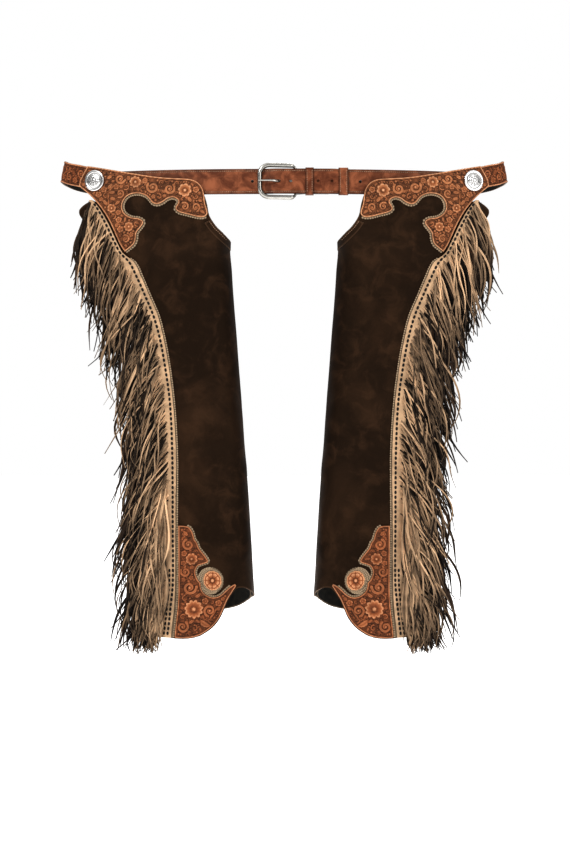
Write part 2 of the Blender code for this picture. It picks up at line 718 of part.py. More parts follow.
def root_spans(layer):
    """Ends and middle height of each strand's root on the strip's outer edge."""
    top, bottom = BAND_ROWS[0].height, BAND_ROWS[-1].height
    pitch = (top - bottom) / STRANDS_PER_STRIP
    half_root = pitch * ROOT_SHARE_OF_PITCH
    spans = []
    for index in range(STRANDS_PER_STRIP):
        centre = top - pitch * (index + 0.5 + layer.stagger)
        if centre - pitch * 0.3 >= bottom:
            upper = band_place(centre + half_root, layer.root_share)
            lower = band_place(centre - half_root, layer.root_share)
            spans.append((upper, lower, centre))
    return spans


def root_edges(form, spans):
    """The longest outline edge on each root, with the root's height."""
    marks = {}
    for edge in form.edges:
        if not edge.is_boundary:
            continue
        middle = (edge.verts[0].co + edge.verts[1].co) / 2
        for number, (upper, lower, centre) in enumerate(spans):
            share = (upper[1] - middle.y) / (upper[1] - lower[1])
            column = upper[0] + (lower[0] - upper[0]) * share
            in_span = lower[1] - ROOT_HEIGHT_SLACK < middle.y < upper[1] + ROOT_HEIGHT_SLACK
            if in_span and abs(column - middle.x) < ROOT_COLUMN_SLACK:
                marks.setdefault(number, []).append(edge)
    roots = []
    for number in sorted(marks):
        edge = max(marks[number], key=lambda item: item.calc_length())
        roots.append((edge, spans[number][2]))
    return roots


def make_fringe(tag, side, layer, low, high, finish, seed):
    """A strip of leather and the strands cut from its outer edge."""
    rng = random.Random(seed)
    spans = root_spans(layer)
    outer = [place for upper, lower, centre in spans for place in (upper, lower)]
    inner = [band_place(row.height, layer.inner_share) for row in BAND_ROWS]
    top_corner = band_place(BAND_ROWS[0].height, layer.root_share)
    bottom_corner = band_place(BAND_ROWS[-1].height, layer.root_share)
    outline = [inner[0], top_corner] + outer + [bottom_corner] + backwards(inner[1:])
    form = flat_plan(outline)
    roots = root_edges(form, spans)
    raised = bmesh.ops.extrude_face_region(form, geom=form.faces[:])
    lifted = {item for item in raised["geom"] if isinstance(item, bmesh.types.BMVert)}
    bmesh.ops.recalc_face_normals(form, faces=form.faces)
    for vert in form.verts:
        vert.co = net_point(vert.co.x, vert.co.y, high if vert in lifted else low)
    for edge, height in roots:
        walls = [face for face in edge.link_faces if any(vert in lifted for vert in face.verts)]
        if len(walls) == 1:
            grow_strand(form, walls[0], lifted, height, layer, (high - low) / 2, rng)
    for vert in form.verts:
        vert.co.x *= side
    return finish_object(layer.name + "_" + tag, form, finish)


def grow_strand(form, wall, lifted, height, layer, half_thickness, rng):
    """Draw the strip's outer wall out, ring by ring, into one strand."""
    corners = list(wall.verts)
    middle_height = sum(vert.co.z for vert in corners) / len(corners)
    signs = []
    for vert in corners:
        upper = 1.0 if vert.co.z > middle_height else -1.0
        front = 1.0 if vert in lifted else -1.0
        signs.append((upper, front))
    if len(set(signs)) != 4:
        return
    face = wall
    previous = sum((vert.co for vert in corners), Vector()) / len(corners)
    centres = strand_centres(previous, height, layer, half_thickness, rng)
    for centre, taper in zip(centres, STRAND_TAPER):
        face = bmesh.ops.extrude_discrete_faces(form, faces=[face])["faces"][0]
        down = (centre - previous).normalized()
        across = Vector(STRAND_FACING).cross(down).normalized()
        if across.z < 0:
            across = -across
        front = down.cross(across).normalized()
        if front.y > 0:
            front = -front
        wide, thick = across * STRAND_HALF_WIDTH * taper, front * half_thickness * taper
        for vert, (upper, outer) in zip(face.verts, signs):
            vert.co = centre + wide * upper + thick * outer
        previous = centre


# Straps, belt and hardware

def belt_run(start, end):
    """Even stations along the belt."""
    count = max(2, round(abs(end - start) / BELT_STATION))
    return [start + (end - start) * index / count for index in range(count + 1)]


def belt_ring(across, centre_out, half_width=BELT_HALF_WIDTH):
    half = BELT_LEATHER / 2
    return [
        front_of_waist(across, centre_out - half, -half_width),
        front_of_waist(across, centre_out + half, -half_width),
        front_of_waist(across, centre_out + half, half_width),
        front_of_waist(across, centre_out - half, half_width)]


def make_tongue():
    step_start, step_end = BELT_STEP_UP
    rings = []
    for across in belt_run(-BELT_END, step_start):
        rings.append(belt_ring(across, BELT_REST_OUT))
    for across in belt_run(step_end, TIP_END - TIP_SHOULDER):
        rings.append(belt_ring(across, TIP_OUT))
    for shift, share in TIP_STATIONS:
        rings.append(belt_ring(TIP_END + shift, TIP_OUT, BELT_HALF_WIDTH * share))
    belt = finish_object("belt_tongue", loft(rings), BELT_TAN)
    for number, across in enumerate(HOLES_IN_TONGUE):
        cut_hole(belt, hole_cutter("tongue_hole_%d" % number, across, HOLE_RADIUS))
    place = front_of_waist(PRONG_HOLE, TIP_OUT, 0)
    cut_hole(belt, box_cutter("prong_hole", place, PRONG_HOLE_HALF_SIZES))


def hole_cutter(name, across, radius):
    form = bmesh.new()
    bmesh.ops.create_cone(
        form, cap_ends=True, segments=8, radius1=radius, radius2=radius, depth=0.030)
    place = front_of_waist(across, 0, 0)
    form.transform(Matrix.Translation(place) @ Matrix.Rotation(math.pi / 2, 4, "X"))
    return finish_object(name, form, BELT_TAN)


def box_cutter(name, place, half_sizes):
    form = bmesh.new()
    bmesh.ops.create_cube(form, size=2.0)
    for vert in form.verts:
        vert.co = [vert.co[axis] * half_sizes[axis] + place[axis] for axis in range(3)]
    return finish_object(name, form, BELT_TAN)


def make_buckle_side():
    """Belt from the wearer's left, folded back round the heel bar."""
    wrap = BAR_RADIUS + SEAM_GAP + BELT_LEATHER / 2
    spots = [(across, BELT_REST_OUT) for across in backwards(belt_run(FOLD_START, BELT_END))]
    for angle in FOLD_ANGLES:
        turn = math.radians(angle)
        spots.append((HEEL_BAR + wrap * math.cos(turn), BAR_OUT + wrap * math.sin(turn)))
    spots += [(0.0280, BAR_OUT - wrap + 0.0006), (0.0395, FOLD_OUT), (FOLD_END, FOLD_OUT)]
    rings = []
    half = BELT_LEATHER / 2
    for index, (across, out) in enumerate(spots):
        before = spots[max(index - 1, 0)]
        after = spots[min(index + 1, len(spots) - 1)]
        along = Vector((after[0] - before[0], after[1] - before[1])).normalized()
        shift = Vector((along.y, -along.x)) * half
        ring = []
        for sign, height in ((-1, -1), (1, -1), (1, 1), (-1, 1)):
            ring.append(front_of_waist(
                across + shift.x * sign, out + shift.y * sign, height * (BELT_HALF_WIDTH - SEAM_GAP)))
        rings.append(ring)
    belt = finish_object("belt_buckle_side", loft(rings), BELT_TAN)
    cut_hole(belt, hole_cutter("strap_hole", HOLE_IN_BUCKLE_SIDE, HOLE_RADIUS))
    place = front_of_waist(HEEL_BAR - PRONG_SLOT_SHIFT, BAR_OUT, 0)
    cut_hole(belt, box_cutter("prong_slot", place, PRONG_SLOT_HALF_SIZES))


def make_buckle():
    """Rounded frame, tilted so that its front bar lies over the tongue."""
    lift = BELT_REST_OUT + BELT_LEATHER / 2 + SEAM_GAP + BAR_RADIUS
    corner = BUCKLE_CORNER
    right, left = HEEL_BAR - corner, FRONT_BAR + corner
    rise = BUCKLE_HALF_HEIGHT - corner
    centres = ((right, rise, 0), (left, rise, 90), (left, -rise, 180), (right, -rise, 270))
    points = []
    for across, height, start in centres:
        for step in (0, 30, 60, 90):
            turn = math.radians(start + step)
            x_place = across + corner * math.cos(turn)
            z_place = height + corner * math.sin(turn)
            share = (x_place - HEEL_BAR) / (FRONT_BAR - HEEL_BAR)
            points.append(front_of_waist(x_place, BAR_OUT + (lift - BAR_OUT) * share, z_place))
    tube("buckle_frame", points, BAR_RADIUS, NICKEL, cyclic=True)
    grip = BAR_RADIUS + SEAM_GAP + PRONG_RADIUS
    path = []
    for angle in (-60, -20, 20, 60, 90):
        turn = math.radians(angle)
        path.append((HEEL_BAR + grip * math.cos(turn), BAR_OUT + grip * math.sin(turn)))
    rest = lift + grip
    path += [(PRONG_KNEE, BAR_OUT + grip - 0.0004), (PRONG_DIP, BAR_OUT + grip - 0.0002)]
    path += [(PRONG_CREST[0], TIP_OUT + PRONG_CREST[1]), (PRONG_LANDING, rest - 0.0002)]
    path.append((FRONT_BAR - BAR_RADIUS, rest))
    places = [front_of_waist(across, out, 0) for across, out in path]
    tube("buckle_prong", places, PRONG_RADIUS, NICKEL)


def make_keeper(name, span, back_out):
    """Leather loop round both layers of the belt."""
    front = TIP_OUT + BELT_LEATHER / 2 + SEAM_GAP
    back = back_out - BELT_LEATHER / 2 - SEAM_GAP
    half = BELT_HALF_WIDTH + SEAM_GAP
    form = bmesh.new()
    loops = []
    for across in span:
        for grow in (0.0, KEEPER_LEATHER):
            loop = []
            for out, height in ((back - grow, -half - grow), (front + grow, -half - grow),
                                (front + grow, half + grow), (back - grow, half + grow)):
                loop.append(form.verts.new(front_of_waist(across, out, height)))
            loops.append(loop)
    start_in, start_out, end_in, end_out = loops
    for first, second in (
            (start_in, start_out), (start_out, end_out), (end_out, end_in), (end_in, start_in)):
        for index in range(4):
            following = (index + 1) % 4
            form.faces.new((first[index], first[following], second[following], second[index]))
    finish_object(name, form, BELT_TAN)


def strap_rings(rows, middle_out, thickness, side):
    rings = []
    for row in rows:
        turn = math.radians(row.turn)
        ring = []
        for sign, up in ((-1, -1), (1, -1), (1, 1), (-1, 1)):
            out = middle_out + sign * thickness / 2 - up * row.lean / 2
            point = loop_point(turn, out, row.centre + up * row.half_width)
            ring.append(Vector((point.x * side, point.y, point.z)))
        rings.append(ring)
    return rings


def more_stations(rows):
    """Extra stations between a strap's rows, on a smooth curve."""
    stations = []
    for first, second, before, after in zip(
            rows, rows[1:], (rows[0],) + rows, rows[2:] + (rows[-1],)):
        for step in range(STATIONS_PER_ROW):
            share = step / STATIONS_PER_ROW
            values = []
            for column in range(4):
                slope_in = (second[column] - before[column]) / 2
                slope_out = (after[column] - first[column]) / 2
                values.append(
                    first[column] * (1 - share) ** 2 * (1 + 2 * share)
                    + second[column] * share ** 2 * (3 - 2 * share)
                    + slope_in * share * (1 - share) ** 2
                    - slope_out * share ** 2 * (1 - share))
            stations.append(Strap(*values))
    stations.append(rows[-1])
    return stations


def make_straps():
    middle = UNDER_HIGH - STRAP_LEATHER / 2 - STRAP_SINK
    for tag, side in SIDES:
        rings = strap_rings(more_stations(HIP_STRAP), middle, STRAP_LEATHER, side)
        finish_object("hip_strap_" + tag, loft(rings), TOOLED_LEATHER)
    middle -= STRAP_LEATHER + STRAP_CLEARANCE
    half = more_stations(BACK_STRAP)
    one_side = strap_rings(half, middle, STRAP_LEATHER, -1.0)
    other_side = strap_rings(half, middle, STRAP_LEATHER, 1.0)
    finish_object("back_strap", loft(one_side + backwards(other_side)[1:]), BELT_TAN)


def make_concho(tag, side):
    """Domed round plate with a stepped rim, spun about its middle."""
    form = bmesh.new()
    verts = []
    for reach, up in CONCHO_PROFILE:
        verts.append(form.verts.new((reach * CONCHO_RADIUS, 0, up * CONCHO_RADIUS)))
    edges = [form.edges.new(pair) for pair in zip(verts, verts[1:])]
    bmesh.ops.spin(
        form, geom=verts + edges, cent=(0, 0, 0), axis=(0, 0, 1), angle=math.tau,
        steps=CONCHO_FACETS, use_merge=True)
    bmesh.ops.remove_doubles(form, verts=form.verts, dist=1e-6)
    column, level = plan((CONCHO_PLACE,))[0]
    place = net_point(column, level, UPPER_HIGH + CONCHO_LIFT)
    outward = (place - net_point(column, level, 0)).normalized()
    turn = Vector((0, 0, 1)).rotation_difference(outward).to_matrix().to_4x4()
    form.transform(Matrix.Translation(place) @ turn)
    for vert in form.verts:
        vert.co.x *= side
    finish_object("concho_" + tag, form, NICKEL)


def build():
    for item in list(bpy.data.objects):
        bpy.data.objects.remove(item, do_unlink=True)
    dark_high = UPPER_LOW + UNDERLAY_LEATHER
    tan_low = dark_high + SEAM_GAP
    tan_high = tan_low + FRINGE_LEATHER
    dark_seed, tan_seed = FRINGE_SEEDS
    for tag, side in SIDES:
        make_leg(tag, side)
        make_crotch_strip(tag, side)
        make_yoke(tag, side)
        make_concho(tag, side)
        make_cuff(tag, side)
        make_medallion(tag, side)
        make_scallop_strip(tag, side)
        make_fringe(tag, side, DARK_LAYER, UPPER_LOW, dark_high, FRINGE_DARK, dark_seed)
        make_fringe(tag, side, TAN_LAYER, tan_low, tan_high, FRINGE_TAN, tan_seed)
    make_straps()
    make_tongue()
    make_buckle_side()
    make_buckle()
    make_keeper("keeper_near", KEEPER_NEAR, FOLD_OUT)
    make_keeper("keeper_tip", KEEPER_TIP, BELT_REST_OUT)


build()
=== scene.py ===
# %% [markdown]
# Leather chaps, dressed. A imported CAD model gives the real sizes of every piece,
# and this lesson lays fine leather, tooling, fringe and metal over that frame.
# The frame is loaded first and never changed, so the dressed model keeps its size.

# %% Load the frame
import math
import random
from collections import namedtuple

import bmesh
import bpy
import numpy as np
from mathutils import Matrix, Vector


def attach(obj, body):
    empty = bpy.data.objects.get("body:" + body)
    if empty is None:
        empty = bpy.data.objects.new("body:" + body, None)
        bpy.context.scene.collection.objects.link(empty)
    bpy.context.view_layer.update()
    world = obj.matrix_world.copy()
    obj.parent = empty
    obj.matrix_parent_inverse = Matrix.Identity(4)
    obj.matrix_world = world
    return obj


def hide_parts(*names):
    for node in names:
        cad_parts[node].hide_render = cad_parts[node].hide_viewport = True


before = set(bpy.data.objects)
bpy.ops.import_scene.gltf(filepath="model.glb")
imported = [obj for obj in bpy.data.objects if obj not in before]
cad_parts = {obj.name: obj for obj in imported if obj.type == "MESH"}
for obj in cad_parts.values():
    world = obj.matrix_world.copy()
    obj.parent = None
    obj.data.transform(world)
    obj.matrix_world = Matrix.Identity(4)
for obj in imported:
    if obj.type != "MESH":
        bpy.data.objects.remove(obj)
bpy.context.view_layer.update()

# %% [markdown]
# The camera stands level with the middle of the picture, 2.6 m away, as a product
# photographer would with a normal lens. One pixel is then 2 mm at the waist's plane.

# %% Camera
CAMERA_DISTANCE = 2.6
CAMERA_HEIGHT = -0.4727
CAMERA_ACROSS = 0.0018
FRAME_HEIGHT = 1.71
SENSOR = 36.0

camera_data = bpy.data.cameras.new("camera")
camera_data.sensor_width = SENSOR
camera_data.lens = SENSOR * CAMERA_DISTANCE / FRAME_HEIGHT
camera = bpy.data.objects.new("camera", camera_data)
camera.location = (CAMERA_ACROSS, -CAMERA_DISTANCE, CAMERA_HEIGHT)
camera.rotation_euler = (math.pi / 2, 0.0, 0.0)
bpy.context.scene.collection.objects.link(camera)
bpy.context.scene.camera = camera
print("lens", round(camera_data.lens, 2), "mm")

# %% [markdown]
# Light is soft and pale: a bright surround, a broad key from the upper left and a
# fill from the right. Dark leather needs broad lamps, because it shows its form
# mostly by its sheen.

# %% Light and floor
PICTURE_GAMMA = 0.80
FLOOR_HEIGHT = -1.02
FLOOR_SIZE = 12.0
FLOOR_GLOW = 0.62
SURROUND_SEEN = 1.0
LIGHT_AT_HORIZON, LIGHT_OVERHEAD = 0.10, 0.95

world = bpy.data.worlds.new("surround")
world.use_nodes = True
links = world.node_tree.links
background = world.node_tree.nodes["Background"]
background.inputs["Color"].default_value = (1.0, 1.0, 1.0, 1.0)
# The lens sees plain white, while the light is bright overhead and dim at the sides
direction = world.node_tree.nodes.new("ShaderNodeTexCoord")
parts = world.node_tree.nodes.new("ShaderNodeSeparateXYZ")
links.new(direction.outputs["Generated"], parts.inputs["Vector"])
shed = world.node_tree.nodes.new("ShaderNodeMapRange")
shed.interpolation_type = "SMOOTHSTEP"
shed.inputs["To Min"].default_value = LIGHT_AT_HORIZON
shed.inputs["To Max"].default_value = LIGHT_OVERHEAD
links.new(parts.outputs["Z"], shed.inputs["Value"])
ray = world.node_tree.nodes.new("ShaderNodeLightPath")
strength = world.node_tree.nodes.new("ShaderNodeMapRange")
strength.inputs["To Max"].default_value = SURROUND_SEEN
links.new(ray.outputs["Is Camera Ray"], strength.inputs["Value"])
links.new(shed.outputs["Result"], strength.inputs["To Min"])
links.new(strength.outputs["Result"], background.inputs["Strength"])
bpy.context.scene.world = world
bpy.context.scene.view_settings.view_transform = "Standard"
bpy.context.scene.view_settings.gamma = PICTURE_GAMMA


def add_lamp(name, place, aim, size, power):
    lamp_data = bpy.data.lights.new(name, "AREA")
    lamp_data.shape = "DISK"
    lamp_data.size = size
    lamp_data.energy = power
    lamp = bpy.data.objects.new(name, lamp_data)
    lamp.location = place
    lamp.rotation_euler = (Vector(aim) - Vector(place)).to_track_quat("-Z", "Y").to_euler()
    bpy.context.scene.collection.objects.link(lamp)
    return lamp


add_lamp("key", (-1.3, -2.3, 1.6), (0, 0, -0.4), 1.0, 40)
add_lamp("fill", (1.9, -2.0, 0.6), (0, 0, -0.5), 1.3, 18)
add_lamp("back", (0.5, 2.3, 1.7), (0, 0, -0.4), 1.4, 34)

floor_form = bmesh.new()
bmesh.ops.create_grid(floor_form, x_segments=1, y_segments=1, size=FLOOR_SIZE)
bmesh.ops.translate(floor_form, verts=floor_form.verts, vec=(0, 0, FLOOR_HEIGHT))
floor_mesh = bpy.data.meshes.new("floor")
floor_form.to_mesh(floor_mesh)
floor_form.free()
floor = bpy.data.objects.new("floor", floor_mesh)
bpy.context.scene.collection.objects.link(floor)
floor_material = bpy.data.materials.new("pale_floor")
floor_material.use_nodes = True
floor_shader = floor_material.node_tree.nodes["Principled BSDF"]
floor_shader.inputs["Base Color"].default_value = (0.97, 0.97, 0.97, 1.0)
floor_shader.inputs["Roughness"].default_value = 0.9
floor_shader.inputs["Specular IOR Level"].default_value = 0.0
floor_shader.inputs["Emission Color"].default_value = (1.0, 1.0, 1.0, 1.0)
floor_shader.inputs["Emission Strength"].default_value = FLOOR_GLOW
floor_mesh.materials.append(floor_material)
print("floor at", FLOOR_HEIGHT)

# %% [markdown]
# Materials are built from small shader node groups, so that grain and blotches are
# made once. The groups read the place on the object and give back a mask or a height.

# %% Node helpers
def add_node(tree, kind, inputs=None, **settings):
    node = tree.nodes.new(kind)
    for name, value in settings.items():
        setattr(node, name, value)
    for name, value in (inputs or {}).items():
        node.inputs[name].default_value = value
    return node


def new_group(name, inputs, outputs):
    """A shader node group with named float and vector sockets."""
    group = bpy.data.node_groups.new(name, "ShaderNodeTree")
    for label, kind, value in inputs:
        socket = group.interface.new_socket(label, in_out="INPUT", socket_type=kind)
        if value is not None:
            socket.default_value = value
    for label, kind in outputs:
        group.interface.new_socket(label, in_out="OUTPUT", socket_type=kind)
    entry = group.nodes.new("NodeGroupInput")
    leave = group.nodes.new("NodeGroupOutput")
    return group, entry.outputs, leave.inputs


def math_node(tree, operation, first, second):
    node = add_node(tree, "ShaderNodeMath", operation=operation)
    for socket, value in zip(node.inputs, (first, second)):
        if isinstance(value, bpy.types.NodeSocket):
            tree.links.new(value, socket)
        else:
            socket.default_value = value
    return node.outputs[0]


def remap(tree, value, low, high, out_low=0.0, out_high=1.0):
    node = add_node(tree, "ShaderNodeMapRange", {
        "From Min": low, "From Max": high, "To Min": out_low, "To Max": out_high})
    tree.links.new(value, node.inputs["Value"])
    return node.outputs["Result"]


# %% Hide grain group
grain_group, grain_in, grain_out = new_group(
    "hide_grain",
    [("Place", "NodeSocketVector", None), ("Pebbles", "NodeSocketFloat", 500.0),
     ("Creases", "NodeSocketFloat", 60.0)],
    [("Height", "NodeSocketFloat")])
pebble = add_node(grain_group, "ShaderNodeTexVoronoi", feature="SMOOTH_F1")
grain_group.links.new(grain_in["Place"], pebble.inputs["Vector"])
grain_group.links.new(grain_in["Pebbles"], pebble.inputs["Scale"])
crease = add_node(grain_group, "ShaderNodeTexNoise", {
    "Detail": 6.0, "Roughness": 0.62, "Distortion": 0.4})
grain_group.links.new(grain_in["Place"], crease.inputs["Vector"])
grain_group.links.new(grain_in["Creases"], crease.inputs["Scale"])
pebble_height = math_node(grain_group, "MULTIPLY", pebble.outputs["Distance"], 0.35)
grain_group.links.new(
    math_node(grain_group, "ADD", pebble_height, crease.outputs["Fac"]), grain_out["Height"])
print("group", grain_group.name)

# %% Blotch group
blotch_group, blotch_in, blotch_out = new_group(
    "blotches",
    [("Place", "NodeSocketVector", None), ("Scale", "NodeSocketFloat", 6.0),
     ("Start", "NodeSocketFloat", 0.40), ("End", "NodeSocketFloat", 0.65)],
    [("Mask", "NodeSocketFloat")])
cloud = add_node(blotch_group, "ShaderNodeTexNoise", {
    "Detail": 5.0, "Roughness": 0.6, "Distortion": 0.6})
blotch_group.links.new(blotch_in["Place"], cloud.inputs["Vector"])
blotch_group.links.new(blotch_in["Scale"], cloud.inputs["Scale"])
spread = add_node(blotch_group, "ShaderNodeMapRange", interpolation_type="SMOOTHSTEP")
blotch_group.links.new(cloud.outputs["Fac"], spread.inputs["Value"])
blotch_group.links.new(blotch_in["Start"], spread.inputs["From Min"])
blotch_group.links.new(blotch_in["End"], spread.inputs["From Max"])
blotch_group.links.new(spread.outputs["Result"], blotch_out["Mask"])
print("group", blotch_group.name)

# %% Leather material builder
def use_group(tree, group, place, **values):
    node = add_node(tree, "ShaderNodeGroup")
    node.node_tree = group
    tree.links.new(place, node.inputs["Place"])
    for name, value in values.items():
        node.inputs[name].default_value = value
    return node.outputs[0]


def mix_colours(tree, mask, first, second):
    """Blend two colours, given as values or as sockets, by a mask."""
    node = add_node(tree, "ShaderNodeMix", data_type="RGBA")
    tree.links.new(mask, node.inputs["Factor"])
    for name, value in (("A", first), ("B", second)):
        socket = [item for item in node.inputs if item.name == name and item.type == "RGBA"][0]
        if isinstance(value, bpy.types.NodeSocket):
            tree.links.new(value, socket)
        else:
            socket.default_value = (*value, 1.0)
    return [item for item in node.outputs if item.type == "RGBA"][0]


def start_material(name, roughness, metallic=0.0, sheen=0.0, specular=0.5, tint=(1.0, 1.0, 1.0)):
    material = bpy.data.materials.new(name)
    material.use_nodes = True
    tree = material.node_tree
    shader = tree.nodes["Principled BSDF"]
    shader.inputs["Roughness"].default_value = roughness
    shader.inputs["Metallic"].default_value = metallic
    shader.inputs["Sheen Weight"].default_value = sheen
    shader.inputs["Specular IOR Level"].default_value = specular
    shader.inputs["Specular Tint"].default_value = (*tint, 1.0)
    place = add_node(tree, "ShaderNodeTexCoord").outputs["Object"]
    return material, tree, shader, place


def paint(tree, shader, tone):
    tree.links.new(tone, shader.inputs["Base Color"])


def add_grain(tree, shader, place, pebbles, creases, strength, distance):
    """Grain of the hide as bump; the distance is how deep it goes, in metres."""
    height = use_group(tree, grain_group, place, Pebbles=pebbles, Creases=creases)
    bump = add_node(tree, "ShaderNodeBump", {"Strength": strength, "Distance": distance})
    tree.links.new(height, bump.inputs["Height"])
    tree.links.new(bump.outputs["Normal"], shader.inputs["Normal"])


def attribute(tree, name):
    return add_node(tree, "ShaderNodeAttribute", attribute_name=name).outputs["Fac"]


# %% [markdown]
# Chap leather is oiled, nearly black, and rubbed to a warm brown in soft patches.
# Its inner face is the rough flesh side, and a cut edge shows paler. An attribute is 1
# at a panel's rim and 0 away from it: the grain side is painted lighter there, a painted
# edge highlight, and the flesh side is paler there.

# %% Chap leather materials
RIM_SHOWN = (0.55, 0.85)


def chap_leather():
    material, tree, shader, place = start_material(
        "oiled_chap_leather", 0.50, specular=0.26, tint=(1.0, 0.64, 0.40))
    large = use_group(tree, blotch_group, place, Scale=7.0, Start=0.42, End=0.70)
    small = use_group(tree, blotch_group, place, Scale=26.0, Start=0.45, End=0.72)
    tone = mix_colours(tree, large, (0.0088, 0.0043, 0.0023), (0.0290, 0.0143, 0.0072))
    wear_and_painted_shade = math_node(tree, "MULTIPLY", small, 0.55)
    tone = mix_colours(tree, wear_and_painted_shade, tone, (0.0560, 0.0280, 0.0145))
    # Painted edge highlight: the grain side is painted lighter along a panel's rim
    rim = remap(tree, attribute(tree, "carve_and_painted_light"), *RIM_SHOWN, 0.0, 0.6)
    tone = mix_colours(tree, rim, tone, (0.0900, 0.0500, 0.0290))
    paint(tree, shader, tone)
    tree.links.new(remap(tree, large, 0.0, 1.0, 0.62, 0.50), shader.inputs["Roughness"])
    add_grain(tree, shader, place, 620.0, 85.0, 0.35, 0.0010)
    return material


def flesh_side(name, rimmed):
    material, tree, shader, place = start_material(name, 0.92, specular=0.2, sheen=0.15)
    nap = use_group(tree, blotch_group, place, Scale=60.0, Start=0.35, End=0.70)
    tone = mix_colours(tree, nap, (0.0100, 0.0090, 0.0072), (0.0260, 0.0225, 0.0165))
    if rimmed:
        rim = remap(tree, attribute(tree, "carve_and_painted_light"), *RIM_SHOWN)
        tone = mix_colours(tree, rim, tone, (0.2600, 0.2000, 0.1400))
    paint(tree, shader, tone)
    add_grain(tree, shader, place, 900.0, 300.0, 0.5, 0.0008)
    return material


def two_tone(name, roughness, scale, first, second):
    """A plain finish that wanders between two colours: edges and threads."""
    material, tree, shader, place = start_material(name, roughness, specular=0.3)
    rub = use_group(tree, blotch_group, place, Scale=scale)
    paint(tree, shader, mix_colours(tree, rub, first, second))
    return material


CHAP = chap_leather()
FLESH = flesh_side("flesh_side", False)
LINING = flesh_side("flesh_side_with_pale_rim", True)
CUT = two_tone("cut_edge", 0.62, 45.0, (0.1300, 0.0800, 0.0500), (0.3200, 0.2200, 0.1500))
# Dark colour of the belts' cut edges: edge dye, and painted shade
EDGE_DYE_AND_SHADE = two_tone("edge_dye_and_painted_shade", 0.45, 45.0, (0.0180, 0.0080, 0.0050), (0.0500, 0.0220, 0.0130))
print("materials:", CHAP.name, FLESH.name, LINING.name, CUT.name, EDGE_DYE_AND_SHADE.name)

# %% [markdown]
# Tooled leather is dyed tan; the dye stays dark in the beaten ground and is rubbed
# pale on the raised parts. Each point of a tooled piece carries how high its carving
# stands, from 0 to 1, and the material turns that into colour.

# %% Tooled leather material
def tooled_leather(name, ground, middle, raised, rim):
    material, tree, shader, place = start_material(
        name, 0.42, specular=0.35, tint=(1.0, 0.80, 0.62))
    carve_and_painted_light = attribute(tree, "carve_and_painted_light")
    ramp = add_node(tree, "ShaderNodeValToRGB")
    stops = ramp.color_ramp.elements
    stops[0].position, stops[0].color = 0.0, (*ground, 1.0)
    stops[1].position, stops[1].color = 1.0, (*rim, 1.0)
    for position, colour in ((0.38, middle), (0.72, raised)):
        stop = stops.new(position)
        stop.color = (*colour, 1.0)
    tree.links.new(carve_and_painted_light, ramp.inputs["Fac"])
    cloud = use_group(tree, blotch_group, place, Scale=34.0, Start=0.38, End=0.72)
    shade = math_node(tree, "MULTIPLY", cloud, 0.35)
    tone = mix_colours(tree, shade, ramp.outputs["Color"], ground)
    paint(tree, shader, tone)
    tree.links.new(remap(tree, carve_and_painted_light, 0.0, 1.0, 0.62, 0.38), shader.inputs["Roughness"])
    add_grain(tree, shader, place, 800.0, 220.0, 0.40, 0.0006)
    return material


TOOLED = tooled_leather(
    "tooled_saddle_leather", (0.030, 0.010, 0.005), (0.330, 0.120, 0.048),
    (0.500, 0.212, 0.092), (0.780, 0.480, 0.290))
TOOLED_RED = tooled_leather(
    "tooled_russet_leather", (0.030, 0.010, 0.005), (0.285, 0.088, 0.033),
    (0.430, 0.155, 0.062), (0.720, 0.380, 0.205))

# %% [markdown]
# Belt leather is smooth and mottled brown, darker along its edges: edge dye, and painted
# shade there and in the stitch channels, where an attribute is low. A strand of suede has
# two numbers of its own: its tone, and how far a point is on the way to its tip.

# %% Belt, edging, suede, thread and metal materials
def belt_leather():
    material, tree, shader, place = start_material(
        "belt_leather", 0.40, specular=0.40, tint=(1.0, 0.80, 0.65))
    cloud = use_group(tree, blotch_group, place, Scale=42.0, Start=0.35, End=0.70)
    tone = mix_colours(tree, cloud, (0.125, 0.035, 0.015), (0.360, 0.130, 0.061))
    # Painted shade: darker at the edges and in the stitch channels, where the attribute is low
    shade = remap(tree, attribute(tree, "carve_and_painted_light"), 0.0, 1.0, 1.0, 0.0)
    tone = mix_colours(tree, shade, tone, (0.018, 0.007, 0.005))
    paint(tree, shader, tone)
    add_grain(tree, shader, place, 700.0, 120.0, 0.30, 0.0006)
    return material


def edging_leather():
    material, tree, shader, place = start_material("scalloped_edging", 0.70, specular=0.3)
    cloud = use_group(tree, blotch_group, place, Scale=70.0)
    low = mix_colours(tree, cloud, (0.120, 0.088, 0.055), (0.230, 0.175, 0.115))
    tone = mix_colours(tree, attribute(tree, "carve_and_painted_light"), low, (0.480, 0.360, 0.240))
    paint(tree, shader, tone)
    add_grain(tree, shader, place, 800.0, 200.0, 0.35, 0.0006)
    return material


def suede(name, shaded, lit, tip, sheen):
    """Soft split leather: each strand has its own tone, darker towards its tip."""
    material, tree, shader, place = start_material(name, 0.85, specular=0.2, sheen=sheen)
    cloud = use_group(tree, blotch_group, place, Scale=30.0, Start=0.32, End=0.70)
    mixed = math_node(tree, "ADD", math_node(tree, "MULTIPLY", cloud, 0.30),
                      math_node(tree, "MULTIPLY", attribute(tree, "strand_tone"), 0.70))
    tone = mix_colours(tree, mixed, shaded, lit)
    tone = mix_colours(tree, attribute(tree, "tip"), tone, tip)
    paint(tree, shader, tone)
    add_grain(tree, shader, place, 900.0, 260.0, 0.45, 0.0006)
    return material


